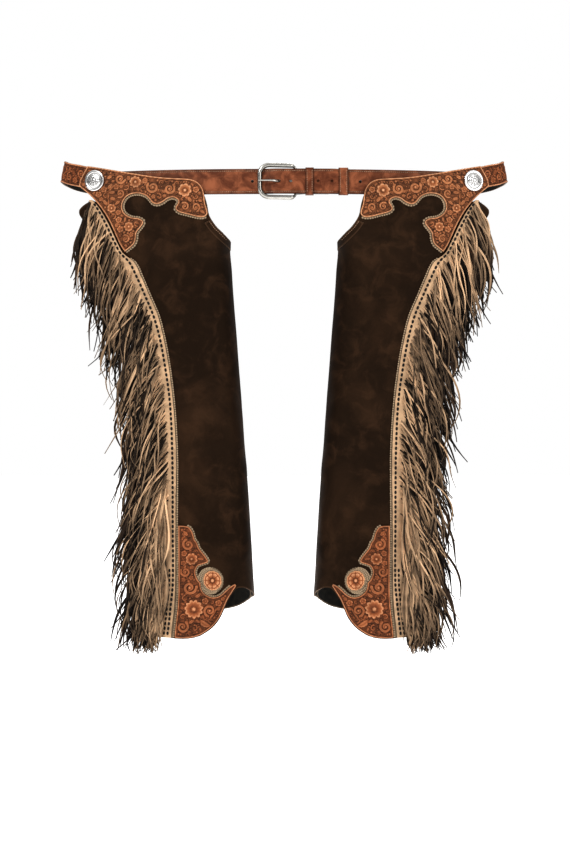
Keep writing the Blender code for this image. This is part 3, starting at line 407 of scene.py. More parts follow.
def metal(name, bright, tarnish_and_painted_shade, roughness):
    """Metal with tarnished patches, dark where the attribute is low: oxide in a concho's engraving,
    painted shade on the buckle's wire and pin.
    """
    material, tree, shader, place = start_material(name, roughness, metallic=1.0)
    # Dark mask: oxide in the concho's engraving, painted shade on the buckle's wire and pin
    engraving_and_painted_shade = remap(tree, attribute(tree, "carve_and_painted_light"), 0.0, 1.0, 1.0, 0.0)
    cloud = math_node(tree, "MULTIPLY", use_group(tree, blotch_group, place, Scale=60.0), 0.20)
    mask = math_node(tree, "MAXIMUM", engraving_and_painted_shade, cloud)
    paint(tree, shader, mix_colours(tree, mask, bright, tarnish_and_painted_shade))
    dulled = remap(tree, mask, 0.0, 1.0, roughness, roughness + 0.3)
    tree.links.new(dulled, shader.inputs["Roughness"])
    add_grain(tree, shader, place, 300.0, 160.0, 0.06, 0.0005)
    return material


BELT = belt_leather()
EDGING = edging_leather()
TAN_SUEDE = suede(
    "tan_fringe_suede", (0.026, 0.017, 0.011), (0.840, 0.575, 0.360), (0.024, 0.015, 0.010), 0.06)
DARK_SUEDE = suede(
    "dark_fringe_suede", (0.010, 0.007, 0.0055), (0.120, 0.070, 0.042), (0.010, 0.007, 0.006), 0.05)
LACING = two_tone("black_lacing", 0.6, 150.0, (0.006, 0.005, 0.004), (0.014, 0.010, 0.008))
THREAD = two_tone("pale_thread", 0.6, 150.0, (0.240, 0.140, 0.085), (0.420, 0.270, 0.180))
DARK_THREAD = two_tone("brown_thread", 0.6, 150.0, (0.040, 0.028, 0.020), (0.095, 0.070, 0.050))
SILVER = metal("bright_silver", (0.860, 0.850, 0.835), (0.160, 0.150, 0.140), 0.24)
# Buckle nickel: its dark colour is painted shade on the wire's inner, upper, lower and back sides
NICKEL = metal("nickel_with_painted_shade", (0.620, 0.600, 0.555), (0.050, 0.044, 0.037), 0.24)
print("materials made:", len(bpy.data.materials))

# %% [markdown]
# The leg is a rounded tube whose widths come from a short table, read along a smooth
# curve. Numpy reads it for thousands of points at once. Near the top the front of
# the leg blends into the curve of the waist.

# %% Leg table and waist
WAIST_HALF_WIDTH = 0.443
WAIST_FRONT_DEPTH = 0.108
WAIST_BACK_DEPTH = 0.150
WAIST_ROUNDNESS = 2.3
LEG_ROUNDNESS = 2.6
HANG_START, HANG_END = -0.045, -0.160

# Columns: height, inner side, outer side, half depth, middle depth
LEG_ROWS = (
    (0.00, 0.1000, 0.440, 0.098, 0.000), (-0.07, 0.1000, 0.392, 0.094, 0.000),
    (-0.12, 0.1070, 0.366, 0.088, 0.000), (-0.16, 0.1045, 0.350, 0.082, 0.000),
    (-0.24, 0.0990, 0.322, 0.078, -0.002), (-0.34, 0.0910, 0.294, 0.072, -0.004),
    (-0.44, 0.0835, 0.277, 0.067, -0.005), (-0.54, 0.0765, 0.269, 0.064, -0.003),
    (-0.64, 0.0690, 0.267, 0.063, 0.001), (-0.76, 0.0625, 0.268, 0.067, 0.006),
    (-0.84, 0.0570, 0.269, 0.070, 0.010), (-0.95, 0.0545, 0.270, 0.072, 0.012),
)


def smooth_step(start, end, value):
    share = np.clip((value - start) / (end - start), 0.0, 1.0)
    return share * share * (3.0 - 2.0 * share)


def signed_power(value, power):
    return np.sign(value) * np.abs(value) ** power


def read_rows(rows, heights):
    """Every column of a table at many heights, along a smooth curve."""
    table = np.array(rows, dtype=float)
    place = np.clip(np.atleast_1d(heights), table[-1, 0], table[0, 0])
    index = np.clip(np.searchsorted(-table[:, 0], -place, side="right") - 1, 0, len(table) - 2)
    before, after = np.maximum(index - 1, 0), np.minimum(index + 2, len(table) - 1)
    lower, upper = table[index], table[index + 1]
    span = upper[:, :1] - lower[:, :1]
    share = (place[:, None] - lower[:, :1]) / span
    start = (upper - table[before]) / (upper[:, :1] - table[before][:, :1])
    end = (table[after] - lower) / (table[after][:, :1] - lower[:, :1])
    values = (
        lower * (1 - share) ** 2 * (1 + 2 * share) + upper * share ** 2 * (3 - 2 * share)
        + start * span * share * (1 - share) ** 2 - end * span * share ** 2 * (1 - share))
    return values[:, 1:].T


def waist_front_y(across):
    share = np.minimum(1.0, np.abs(across) / WAIST_HALF_WIDTH)
    return -WAIST_FRONT_DEPTH * (1 - share ** WAIST_ROUNDNESS) ** (1 / WAIST_ROUNDNESS)


# %% Points on the leg
def leg_skin(turns, heights):
    """Outer surface of the leg: turn 0 inside, a quarter turn front, half outside."""
    inner, outer, half_depth, centre_y = read_rows(LEG_ROWS, heights)
    half, middle = (outer - inner) / 2, (outer + inner) / 2
    across = middle - half * signed_power(np.cos(turns), 2 / LEG_ROUNDNESS)
    bulge = half_depth * np.abs(np.sin(turns)) ** (2 / LEG_ROUNDNESS)
    hang = smooth_step(HANG_START, HANG_END, heights)
    front = (1 - hang) * waist_front_y(across) + hang * (centre_y - bulge)
    inner_y = (1 - hang) * waist_front_y(inner) + hang * centre_y
    outer_y = (1 - hang) * waist_front_y(outer) + hang * centre_y
    back = inner_y + (outer_y - inner_y) * (across - inner) / (outer - inner) + bulge
    return np.stack((across, np.where(np.sin(turns) >= 0, front, back), heights), axis=1)


def front_turns(across, heights):
    """The turn at which the front of the leg is this far across."""
    inner, outer = read_rows(LEG_ROWS, heights)[:2]
    half, middle = (outer - inner) / 2, (outer + inner) / 2
    share = np.clip((middle - across) / half, -1.0, 1.0)
    return np.arccos(signed_power(share, LEG_ROUNDNESS / 2))


# %% [markdown]
# Worn leather is never smooth. Each fold below is a soft trough or ridge with a
# place, a size, a slant and a rise, set so that no two are alike. Every
# layer is read off the same folded surface, so layers never cut through each other.

# %% Folds in the leather
# Columns: turn, height, half turn, half height, slant, rise
FOLDS = (
    (52, -0.250, 16, 0.070, 0.0, -0.0030), (84, -0.360, 13, 0.110, 0.0, 0.0025),
    (112, -0.430, 15, 0.080, 0.0, -0.0030), (66, -0.560, 18, 0.090, 0.0, -0.0025),
    (96, -0.690, 14, 0.070, 0.0, 0.0025), (250, -0.330, 18, 0.080, 0.0, -0.0035),
    (285, -0.440, 15, 0.100, 0.0, 0.0030), (222, -0.600, 18, 0.090, 0.0, -0.0030),
    (300, -0.700, 16, 0.080, 0.0, -0.0025),
)
CREASES = (
    (38, -0.175, 22, 0.012, 0.6, -0.0016), (30, -0.205, 20, 0.010, 0.8, 0.0013),
    (60, -0.300, 24, 0.016, -0.5, -0.0015), (72, -0.470, 22, 0.020, 0.7, -0.0018),
    (46, -0.500, 26, 0.016, 0.4, 0.0014), (84, -0.530, 24, 0.014, -0.4, -0.0014),
    (58, -0.645, 20, 0.022, 0.9, -0.0016), (30, -0.720, 22, 0.016, -0.7, 0.0014),
    (20, -0.420, 18, 0.018, 0.6, -0.0016), (12, -0.560, 18, 0.022, -0.8, 0.0015),
    (205, -0.300, 26, 0.016, 0.6, -0.0018), (236, -0.420, 24, 0.018, -0.7, 0.0016),
    (262, -0.500, 26, 0.014, 0.5, -0.0020), (285, -0.535, 24, 0.013, -0.4, 0.0017),
    (240, -0.560, 28, 0.015, 0.6, -0.0019), (300, -0.600, 22, 0.018, 0.5, 0.0016),
    (215, -0.700, 24, 0.020, -0.6, -0.0017), (270, -0.760, 26, 0.016, 0.5, 0.0015),
    (310, -0.230, 22, 0.018, -0.6, -0.0018), (280, -0.245, 20, 0.014, 0.7, 0.0016),
)


def fold_rise(turns, heights):
    rise = np.zeros(len(heights))
    degrees = np.degrees(turns)
    for turn, height, half_turn, half_height, slant, amount in FOLDS + CREASES:
        away = ((degrees - turn + 180) % 360 - 180) / half_turn
        drop = (heights - height) / half_height - slant * away
        rise += amount * np.exp(-away ** 2 - drop ** 2)
    return rise


# Half steps between which the slope of the leg is measured
TURN_STEP, DROP_STEP = math.radians(2.0), 0.004


def on_leg(turns, heights, outs):
    """Points on the folded leg, moved outwards by their own distance."""
    round_leg = leg_skin(turns + TURN_STEP, heights) - leg_skin(turns - TURN_STEP, heights)
    up_leg = leg_skin(turns, heights + DROP_STEP) - leg_skin(turns, heights - DROP_STEP)
    outward = np.cross(round_leg, up_leg)
    outward /= np.linalg.norm(outward, axis=1)[:, None]
    return leg_skin(turns, heights) + outward * (fold_rise(turns, heights) + outs)[:, None]


def on_front(across, heights, outs):
    return on_leg(front_turns(across, heights), heights, outs)


def on_loop(turns, outs, heights):
    """Points on the waist loop: turn 0 is the front, half a turn the back."""
    depth = np.where(np.cos(turns) > 0, WAIST_FRONT_DEPTH, WAIST_BACK_DEPTH)

    def spot(angle):
        return np.stack((
            WAIST_HALF_WIDTH * signed_power(np.sin(angle), 2 / WAIST_ROUNDNESS),
            -depth * signed_power(np.cos(angle), 2 / WAIST_ROUNDNESS),
            np.zeros(len(turns))), axis=1)

    along = spot(turns + 0.01) - spot(turns - 0.01)
    along /= np.linalg.norm(along, axis=1)[:, None]
    outward = np.stack((along[:, 1], -along[:, 0], np.zeros(len(turns))), axis=1)
    points = spot(turns) + outward * outs[:, None]
    points[:, 2] += heights
    return points


# %% [markdown]
# A leather piece starts as one flat face with the cut outline. Bisecting it along
# close parallel lines gives it enough points to bend, then it is extruded to its
# thickness and each point is laid in its place on the body.

# %% Cutting and laying leather
SIDES = (("r", -1.0), ("l", 1.0))


def smooth_outline(points, steps=3, closed=True):
    """Extra points between the marked ones, on a smooth curve."""
    spots = np.array(points, dtype=float)
    count = len(spots)
    smooth = []
    for index in range(count if closed else count - 1):
        near = index + np.arange(-1, 3)
        p0, p1, p2, p3 = spots[near % count if closed else np.clip(near, 0, count - 1)]
        for step in range(steps):
            t = step / steps
            smooth.append(0.5 * (
                2 * p1 + (p2 - p0) * t + (2 * p0 - 5 * p1 + 4 * p2 - p3) * t * t
                + (3 * p1 - p0 - 3 * p2 + p3) * t ** 3))
    if not closed:
        smooth.append(spots[-1])
    return [tuple(spot) for spot in smooth]


def nearest_on_line(across, up, points):
    """Distance to a run of points, and how far along it the nearest spot is."""
    spots = np.array(points, dtype=float)
    best, along = np.full(len(across), 1e9), np.zeros(len(across))
    lengths = np.linalg.norm(np.diff(spots, axis=0), axis=1)
    total, walked = lengths.sum(), 0.0
    for start, end, length in zip(spots, spots[1:], lengths):
        if length < 1e-9:
            continue
        step = (end - start) / length
        reach = np.clip((across - start[0]) * step[0] + (up - start[1]) * step[1], 0, length)
        away = np.hypot(across - start[0] - reach * step[0], up - start[1] - reach * step[1])
        closer = away < best
        best = np.where(closer, away, best)
        along = np.where(closer, (walked + reach) / total, along)
        walked += length
    return best, along


def walked_along(points):
    """Length walked from the first of a run of points to each of them."""
    steps = np.linalg.norm(np.diff(points, axis=0), axis=1)
    return np.concatenate(([0.0], np.cumsum(steps)))


def distance_to_edge(across, up, outline):
    return nearest_on_line(across, up, list(outline) + [outline[0]])[0]


def cut_sheet(outline, cell_across, cell_up):
    """A flat face with this outline, cut along close lines both ways."""
    form = bmesh.new()
    form.faces.new([form.verts.new((across, up, 0.0)) for across, up in outline])
    for axis, cell in ((0, cell_across), (1, cell_up)):
        values = [spot[axis] for spot in outline]
        direction = [0.0, 0.0, 0.0]
        direction[axis] = 1.0
        for line in range(math.floor(min(values) / cell) + 1, math.ceil(max(values) / cell)):
            bmesh.ops.bisect_plane(
                form, geom=form.verts[:] + form.edges[:] + form.faces[:], dist=cell * 0.002,
                plane_co=[line * cell * part for part in direction], plane_no=direction)
    bmesh.ops.remove_doubles(form, verts=form.verts[:], dist=min(cell_across, cell_up) * 0.22)
    return form


def lay_sheet(form, place, low, high, relief=None):
    """Thicken a cut sheet and lay it on the body; relief gives rise and tone."""
    # This attribute holds the carving's tone, and on some pieces painted light: an edge highlight,
    # or shade on edges
    carve_and_painted_light = form.verts.layers.float.new("carve_and_painted_light")
    raised = bmesh.ops.extrude_face_region(form, geom=form.faces[:])
    top = {item for item in raised["geom"] if isinstance(item, bmesh.types.BMVert)}
    flat = np.array([vert.co[:2] for vert in form.verts])
    is_top = np.array([vert in top for vert in form.verts])
    rise, tone = np.zeros(len(flat)), np.full(len(flat), 0.5)
    if relief is not None:
        rise, tone = relief(flat[:, 0], flat[:, 1])
    points = place(flat[:, 0], flat[:, 1], np.where(is_top, high + rise, low))
    for vert, point, value in zip(form.verts, points, tone):
        vert.co = point
        vert[carve_and_painted_light] = value
    for face in form.faces:
        count = sum(vert in top for vert in face.verts)
        face.material_index = 0 if count == len(face.verts) else (1 if count == 0 else 2)
    return form


def close_form(form):
    """Faces outwards, whatever way the sheet was drawn."""
    bmesh.ops.recalc_face_normals(form, faces=form.faces)
    if form.calc_volume(signed=True) < 0:
        bmesh.ops.reverse_faces(form, faces=form.faces)


SHARP_ANGLE = math.radians(48)


def piece_from(name, form, materials):
    mesh = bpy.data.meshes.new(name)
    for edge in form.edges:
        if len(edge.link_faces) == 2 and edge.calc_face_angle() > SHARP_ANGLE:
            edge.smooth = False
    for face in form.faces:
        face.smooth = True
    form.to_mesh(mesh)
    form.free()
    for material in materials:
        mesh.materials.append(material)
    piece = bpy.data.objects.new(name, mesh)
    bpy.context.scene.collection.objects.link(piece)
    return piece


def both_sides(name, form, materials):
    """The piece for the wearer's left, and its mirror for the right."""
    close_form(form)
    pieces = {}
    for tag, side in SIDES:
        copy = form.copy()
        if side < 0:
            bmesh.ops.scale(copy, vec=(-1, 1, 1), verts=copy.verts)
            bmesh.ops.reverse_faces(copy, faces=copy.faces)
        pieces[tag] = piece_from("%s_%s" % (name, tag), copy, materials)
    form.free()
    print(name, "faces a side:", len(pieces["l"].data.polygons))
    return pieces


def declare(pieces, node):
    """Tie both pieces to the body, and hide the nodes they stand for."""
    for tag, piece in pieces.items():
        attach(piece, "root")
        for name in node:
            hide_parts(name + "_" + tag)


# %% [markdown]
# The front panel runs from the inner seam to the fringe seam, with the curved
# crotch cut and the arched hem. The back panel closes the tube. Both are drawn in
# turn round the leg and height, so that cutting lines follow the tube.

# %% Outlines of the chap panels
CHAP_LEATHER = 0.0022
INNER_SEAM_TURN = -25.0
ARC = 0.10

CROTCH_CURVE = (
    (0.1520, -0.0300), (0.1478, -0.0450), (0.1435, -0.0660), (0.1310, -0.0850),
    (0.1180, -0.0965), (0.1085, -0.1050),
)
PANEL_TOP = (
    (0.3715, -0.0330), (0.3520, -0.0300), (0.3380, -0.0200), (0.3320, 0.0060),
    (0.2850, 0.0080), (0.2000, -0.0020), (0.1720, -0.0060), (0.1590, -0.0160),
)
FRONT_HEM = (
    (0.0639, -0.7972), (0.0745, -0.7896), (0.0853, -0.7872), (0.0934, -0.7890),
    (0.1017, -0.7985), (0.1104, -0.8125), (0.1180, -0.8300), (0.1248, -0.8450),
    (0.1355, -0.8595), (0.1490, -0.8710), (0.1670, -0.8812), (0.1879, -0.8856),
    (0.2120, -0.8860),
)
BACK_TOP = (
    (334.5, -0.1165), (320, -0.130), (297, -0.148), (268, -0.152),
    (240, -0.132), (212, -0.098), (186, -0.066), (162, -0.047),
)
BACK_HEM = (
    (168, -0.8805), (192, -0.876), (216, -0.867), (240, -0.858),
    (270, -0.851), (300, -0.841), (320, -0.828), (334.5, -0.8175),
)
# Columns: height, inner edge, lacing line, root line of the fringe band
BAND_ROWS = (
    (-0.030, 0.3708, 0.3735, 0.3790), (-0.047, 0.3560, 0.3615, 0.3696),
    (-0.078, 0.3370, 0.3440, 0.3538), (-0.116, 0.3188, 0.3250, 0.3345),
    (-0.134, 0.3085, 0.3150, 0.3258), (-0.150, 0.2868, 0.2995, 0.3168),
    (-0.180, 0.2722, 0.2845, 0.3005), (-0.215, 0.2575, 0.2690, 0.2845),
    (-0.255, 0.2405, 0.2525, 0.2690), (-0.300, 0.2292, 0.2400, 0.2575),
    (-0.350, 0.2205, 0.2310, 0.2470), (-0.420, 0.2122, 0.2220, 0.2405),
    (-0.520, 0.2063, 0.2170, 0.2350), (-0.650, 0.2066, 0.2162, 0.2388),
    (-0.775, 0.2063, 0.2160, 0.2465), (-0.820, 0.2077, 0.2200, 0.2510),
    (-0.862, 0.2122, 0.2245, 0.2545), (-0.884, 0.2145, 0.2275, 0.2565),
)
BAND_TOP, BAND_BOTTOM = BAND_ROWS[0][0], BAND_ROWS[-1][0]


def on_turns(outline):
    return [(math.radians(turn) * ARC, height) for turn, height in outline]


def on_turns_from_front(outline):
    spots = np.array(outline)
    return list(zip(front_turns(spots[:, 0], spots[:, 1]) * ARC, spots[:, 1]))


def seam_turns(shift):
    heights = np.linspace(BAND_TOP, BAND_BOTTOM, 60)
    turns = front_turns(read_rows(BAND_ROWS, heights)[1], heights)
    return list(zip((turns + math.radians(shift)) * ARC, heights))


# %% Chap panels
PANEL_CELL = 0.007
PANEL_WAVE = 0.00035


def on_leg_arc(arcs, heights, outs):
    return on_leg(arcs / ARC, heights, outs)


def soft_panel(outline):
    """Slight unevenness of thick oiled leather, and a rim mask along this outline, for the grain
    side's painted edge highlight and the flesh side's paler rim.
    """
    def relief(arcs, heights):
        wave = np.sin(arcs * 95 + 1.3) * np.sin(heights * 41 + 0.4) * PANEL_WAVE
        edge = distance_to_edge(arcs, heights, outline)
        return wave, np.clip(1 - edge / PANEL_CELL, 0, 1)

    return relief


inner_turn = INNER_SEAM_TURN + 0.15
front_outline = on_turns(((inner_turn, -0.1165), (-12, -0.111), (0, -0.108)))
front_outline += on_turns_from_front(smooth_outline(CROTCH_CURVE, closed=False))[::-1]
front_outline += on_turns_from_front(smooth_outline(PANEL_TOP, 2, closed=False))[::-1]
front_outline += seam_turns(-0.15)
front_outline += on_turns_from_front(smooth_outline(FRONT_HEM, closed=False))[::-1]
front_outline += on_turns(((0, -0.8085), (inner_turn, -0.8175)))
back_outline = on_turns(smooth_outline(BACK_TOP, closed=False))
back_outline += seam_turns(0.15) + on_turns(smooth_outline(BACK_HEM, closed=False))

chap_fronts = both_sides("chap_front", lay_sheet(
    cut_sheet(front_outline, PANEL_CELL, PANEL_CELL), on_leg_arc, -CHAP_LEATHER, 0.0,
    soft_panel(front_outline)), (CHAP, LINING, CUT))
chap_backs = both_sides("chap_back", lay_sheet(
    cut_sheet(back_outline, PANEL_CELL, PANEL_CELL), on_leg_arc, -CHAP_LEATHER, 0.0,
    soft_panel(back_outline)), (CHAP, LINING, CUT))
declare(chap_fronts, ("leg_front",))
declare(chap_backs, ("leg_back_outer", "leg_back_inner"))

# %% [markdown]
# Tooling is drawn on the flat piece first, as a leather carver would: a plain
# border, then flowers, scrolls and leaves, and last the ground beaten down round
# them. Each motif knows how far a point lies inside it, and presses its own shape
# into the height and tone of the points that it covers.

# %% Tooling on the flat
GROUND_TONE = 0.17
BORDER_ROOM = 0.0045
MOAT_DEPTH = 0.92


class Tooling:
    """Height and tone of the carving at every point of one flat piece."""

    def __init__(self, across, up, outline):
        self.across, self.up = across, up
        self.edge = distance_to_edge(across, up, outline)
        self.level = np.zeros(len(across))
        self.tone = np.full(len(across), GROUND_TONE)
        self.room = self.edge - BORDER_ROOM

    def press(self, inside, level, tone):
        cover = smooth_step(-0.0002, 0.0007, inside)
        moat = np.exp(-((inside + 0.0006) / 0.0007) ** 2) * (inside < 0.0004)
        self.tone *= 1 - MOAT_DEPTH * moat
        self.level = self.level * (1 - cover) + cover * level
        self.tone = self.tone * (1 - cover) + cover * tone

    def claim(self, place, radius):
        away = np.hypot(self.across - place[0], self.up - place[1]) - radius
        self.room = np.minimum(self.room, away)


# %% Motifs
def flower(tooling, place, radius, petals, turn=0.0):
    side, up = tooling.across - place[0], tooling.up - place[1]
    reach, angle = np.hypot(side, up), np.arctan2(up, side) - turn
    rim = radius * (0.78 + 0.22 * np.abs(np.cos(angle * petals / 2)))
    share = reach / rim
    slit = np.exp(-(np.cos(angle * petals / 2) * reach / 0.0011) ** 2)
    slit *= smooth_step(0.28, 0.45, share)
    dish = 0.12 + 0.88 * smooth_step(0.35, 0.98, share)
    heart = 1 - smooth_step(0.16, 0.28, share)
    ring = np.exp(-((share - 0.30) / 0.06) ** 2)
    level = np.maximum(dish * (1 - 0.7 * slit), heart) * (1 - 0.8 * ring)
    tooling.press(rim - reach, level, 0.16 + 0.80 * level)
    tooling.claim(place, radius * 1.02)


def stem(tooling, points, width, taper=0.55, vein=0.5):
    """A raised ribbon with a groove down it, thinner towards its end."""
    away, along = nearest_on_line(tooling.across, tooling.up, points)
    half = width * (1 - (1 - taper) * along)
    groove = np.exp(-(away / (half * 0.30)) ** 2)
    level = 0.95 - vein * groove
    tooling.press(half - away, level, 0.20 + 0.68 * level)


def scroll(tooling, place, radius, turn, hand, turns=1.35):
    """A spiral that curls in to a round bud."""
    angles = np.linspace(0, turns * math.tau, 26)
    reach = radius * (1 - 0.78 * (angles / angles[-1]) ** 0.85)
    points = np.stack((
        place[0] + reach * np.cos(turn + hand * angles),
        place[1] + reach * np.sin(turn + hand * angles)), axis=1)
    stem(tooling, points, radius * 0.20, 0.75)
    bud = np.hypot(tooling.across - place[0], tooling.up - place[1])
    tooling.press(radius * 0.20 - bud, 0.9, 0.85)
    tooling.claim(place, radius * 1.12)


def leaf(tooling, place, length, turn, bend=0.5):
    share = np.linspace(0, 1, 9)
    sweep = turn + bend * (share - 0.5)
    step = length / 8
    points = np.cumsum(np.stack((np.cos(sweep), np.sin(sweep)), axis=1) * step, axis=0)
    points += np.array(place) - points[4]
    away, along = nearest_on_line(tooling.across, tooling.up, points)
    half = length * 0.24 * np.sin(np.pi * np.clip(along * 0.92 + 0.06, 0, 1)) ** 0.8
    half *= 0.90 + 0.10 * np.cos(along * 30)
    vein = np.exp(-(away / 0.0006) ** 2)
    level = 0.60 + 0.40 * np.clip(away / np.maximum(half, 1e-5), 0, 1) - 0.45 * vein
    tooling.press(half - away, level, 0.25 + 0.62 * level)


MOST_SMALL_MOTIFS = 140


def fill_gaps(tooling, smallest, largest, seed):
    """Small leaves, curls and buds, each as large as the free ground lets it be."""
    chance = random.Random(seed)
    count = 0
    while count < MOST_SMALL_MOTIFS:
        index = int(np.argmax(tooling.room))
        free = tooling.room[index]
        if free < smallest:
            break
        place = (float(tooling.across[index]), float(tooling.up[index]))
        radius = min(float(free), largest)
        kind, turn = count % 3, chance.uniform(0, math.tau)
        if kind == 0:
            scroll(tooling, place, radius * 0.92, turn, chance.choice((-1, 1)), 1.1)
        elif kind == 1:
            leaf(tooling, place, radius * 2.1, turn, chance.uniform(-1.2, 1.2))
        else:
            flower(tooling, place, radius, 5, turn)
        tooling.claim(place, radius)
        count += 1
    return count


def rounded_over(edge, rounding):
    """How far a rounded edge has dropped: 1 at the very edge, 0 past the rounding."""
    return 1 - np.sqrt(np.clip(1 - (1 - np.clip(edge / rounding, 0, 1)) ** 2, 0, 1))


def finish_tooling(tooling, depth, border=0.0023, rounding=0.0010):
    """Beat the ground, add the border, and round the outer edge."""
    across, up, edge = tooling.across, tooling.up, tooling.edge
    seeds = np.sin(across * 2600 + np.sin(up * 1900) * 2)
    seeds *= np.sin(up * 2500 + np.sin(across * 2100) * 2)
    ground = 1 - smooth_step(0.05, 0.4, tooling.level)
    level = tooling.level + 0.18 * seeds * ground
    tone = tooling.tone + 0.14 * seeds * ground
    inside_border = smooth_step(border - 0.0003, border + 0.0004, edge)
    groove = np.exp(-((edge - border - 0.0006) / 0.0006) ** 2)
    level = level * inside_border + (1 - inside_border)
    tone = tone * inside_border + (1 - inside_border) * 0.96
    level *= 1 - 0.9 * groove
    tone *= 1 - 0.92 * groove
    rounded = rounded_over(edge, rounding)
    tone *= 1 - 0.45 * rounded
    return (level - 0.75) * depth * 1.5 - rounded * 0.0010, np.clip(tone, 0, 1)


# %% [markdown]
# The yoke is the shaped hip piece. Its top follows the waist, its lower edge is
# cut in lobes, and its outer edge slants down beside the fringe.

# %% Yoke outline and layout
UNDER_LOW, UNDER_HIGH = 0.0003, 0.0015
UPPER_LOW, UPPER_HIGH = 0.0018, 0.0048
TOOLED_CELL = 0.00135

YOKE_TOP = (
    (0.3993, -0.0007), (0.3959, 0.0125), (0.3815, 0.0368), (0.3409, 0.0281),
    (0.2862, 0.0168), (0.2383, 0.0087), (0.1997, 0.0057), (0.1790, 0.0038),
    (0.1657, -0.0021), (0.1568, -0.0126), (0.1530, -0.0258), (0.1509, -0.0435),
    (0.1462, -0.0590),
)
YOKE_SCALLOP = (
    (0.1498, -0.0660), (0.1564, -0.0684), (0.1681, -0.0676), (0.1827, -0.0639),
    (0.2005, -0.0593), (0.2078, -0.0533), (0.2072, -0.0475), (0.2028, -0.0401),
    (0.2049, -0.0343), (0.2138, -0.0305), (0.2243, -0.0332), (0.2332, -0.0395),
    (0.2435, -0.0431), (0.2525, -0.0406), (0.2586, -0.0332), (0.2660, -0.0262),
    (0.2795, -0.0214), (0.2945, -0.0225), (0.3052, -0.0288), (0.3111, -0.0389),
    (0.3119, -0.0493), (0.3065, -0.0597), (0.2945, -0.0669), (0.2795, -0.0695),
    (0.2719, -0.0741), (0.2713, -0.0801), (0.2764, -0.0872), (0.2841, -0.0972),
    (0.2856, -0.1090), (0.2902, -0.1189), (0.3012, -0.1273), (0.3073, -0.1313),
)
YOKE_OUTER = (
    (0.3169, -0.1163), (0.3348, -0.0777), (0.3534, -0.0471), (0.3753, -0.0219),
)
CONCHO_PLACE = (0.3664, 0.0069)

# The end at the hip strap is cut straight, so its corners stay sharp
yoke_outline = [YOKE_TOP[0], YOKE_TOP[1]]
yoke_outline += smooth_outline(YOKE_TOP[2:] + YOKE_SCALLOP, 3, closed=False)
yoke_outline += smooth_outline(
    YOKE_SCALLOP[-1:] + YOKE_OUTER + YOKE_TOP[:1], 3, closed=False)[1:-1]


def yoke_tooling(across, up):
    tooling = Tooling(across, up, yoke_outline)
    stem(tooling, smooth_outline((
        (0.170, -0.045), (0.200, -0.022), (0.235, -0.018), (0.265, -0.004),
        (0.300, 0.006), (0.335, -0.010), (0.338, -0.045), (0.318, -0.080),
        (0.300, -0.112)), 4, closed=False), 0.0022, 0.7)
    flower(tooling, (0.1900, -0.0170), 0.0135, 8, 0.2)
    scroll(tooling, (0.2200, -0.0140), 0.0112, 2.4, 1)
    scroll(tooling, (0.2520, -0.0100), 0.0120, 0.6, -1)
    flower(tooling, (0.2860, 0.0010), 0.0118, 9, 0.1)
    scroll(tooling, (0.3160, 0.0080), 0.0100, 3.4, 1)
    flower(tooling, (0.3330, -0.0480), 0.0090, 7, 0.4)
    scroll(tooling, (0.3160, -0.0200), 0.0085, 5.2, -1)
    flower(tooling, (0.2990, -0.0850), 0.0095, 8, 0.0)
    scroll(tooling, (0.3050, -0.1080), 0.0078, 1.0, 1)
    scroll(tooling, (0.1690, -0.0500), 0.0085, 4.4, -1)
    scroll(tooling, (0.1900, -0.0480), 0.0080, 0.9, 1)
    tooling.claim(CONCHO_PLACE, 0.0190)
    small = fill_gaps(tooling, 0.0016, 0.0062, 3)
    print("yoke: small motifs", small)
    away = np.hypot(across - CONCHO_PLACE[0], up - CONCHO_PLACE[1])
    under_concho = 1 - smooth_step(0.0205, 0.0225, away)
    rise, tone = finish_tooling(tooling, 0.0009)
    return rise * (1 - under_concho), tone


# %% Yokes
def tooled_sheet(outline, cell, tooling):
    return lay_sheet(cut_sheet(outline, cell, cell), on_front, UPPER_LOW, UPPER_HIGH, tooling)


yokes = both_sides(
    "hip_yoke", tooled_sheet(yoke_outline, TOOLED_CELL, yoke_tooling), (TOOLED, FLESH, CUT))
declare(yokes, ("yoke",))

# %% [markdown]
# The corner patch rises in steps beside the fringe band, with a round bite for the
# medallion and a tail that follows the arched hem.

# %% Corner patch outline and layout
CUFF_INNER = (
    (0.2055, -0.6640), (0.1899, -0.6648), (0.1831, -0.6686), (0.1776, -0.6784),
    (0.1743, -0.6907), (0.1694, -0.6975), (0.1661, -0.7071), (0.1599, -0.7153),
    (0.1517, -0.7262), (0.1486, -0.7350), (0.1599, -0.7393), (0.1681, -0.7428),
    (0.1728, -0.7523), (0.1722, -0.7603), (0.1681, -0.7701), (0.1632, -0.7756),
    (0.1621, -0.7851), (0.1572, -0.7947), (0.1463, -0.8024), (0.1340, -0.8038),
    (0.1232, -0.7991), (0.1149, -0.7911), (0.1054, -0.7832), (0.0973, -0.7790),
)
CUFF_HEM = (
    (0.0955, -0.7830), (0.1035, -0.7955), (0.1120, -0.8100), (0.1195, -0.8275),
    (0.1262, -0.8425), (0.1368, -0.8575), (0.1500, -0.8690), (0.1677, -0.8790),
    (0.1880, -0.8836), (0.2100, -0.8838), (0.2130, -0.8815),
)
CUFF_BAND_GAP = 0.0008
cuff_heights = np.linspace(-0.872, -0.668, 24)
cuff_band = list(zip(read_rows(BAND_ROWS, cuff_heights)[0] - CUFF_BAND_GAP, cuff_heights))
cuff_outline = smooth_outline(CUFF_INNER, 3, closed=False)
cuff_outline += smooth_outline(CUFF_HEM, 3, closed=False) + cuff_band


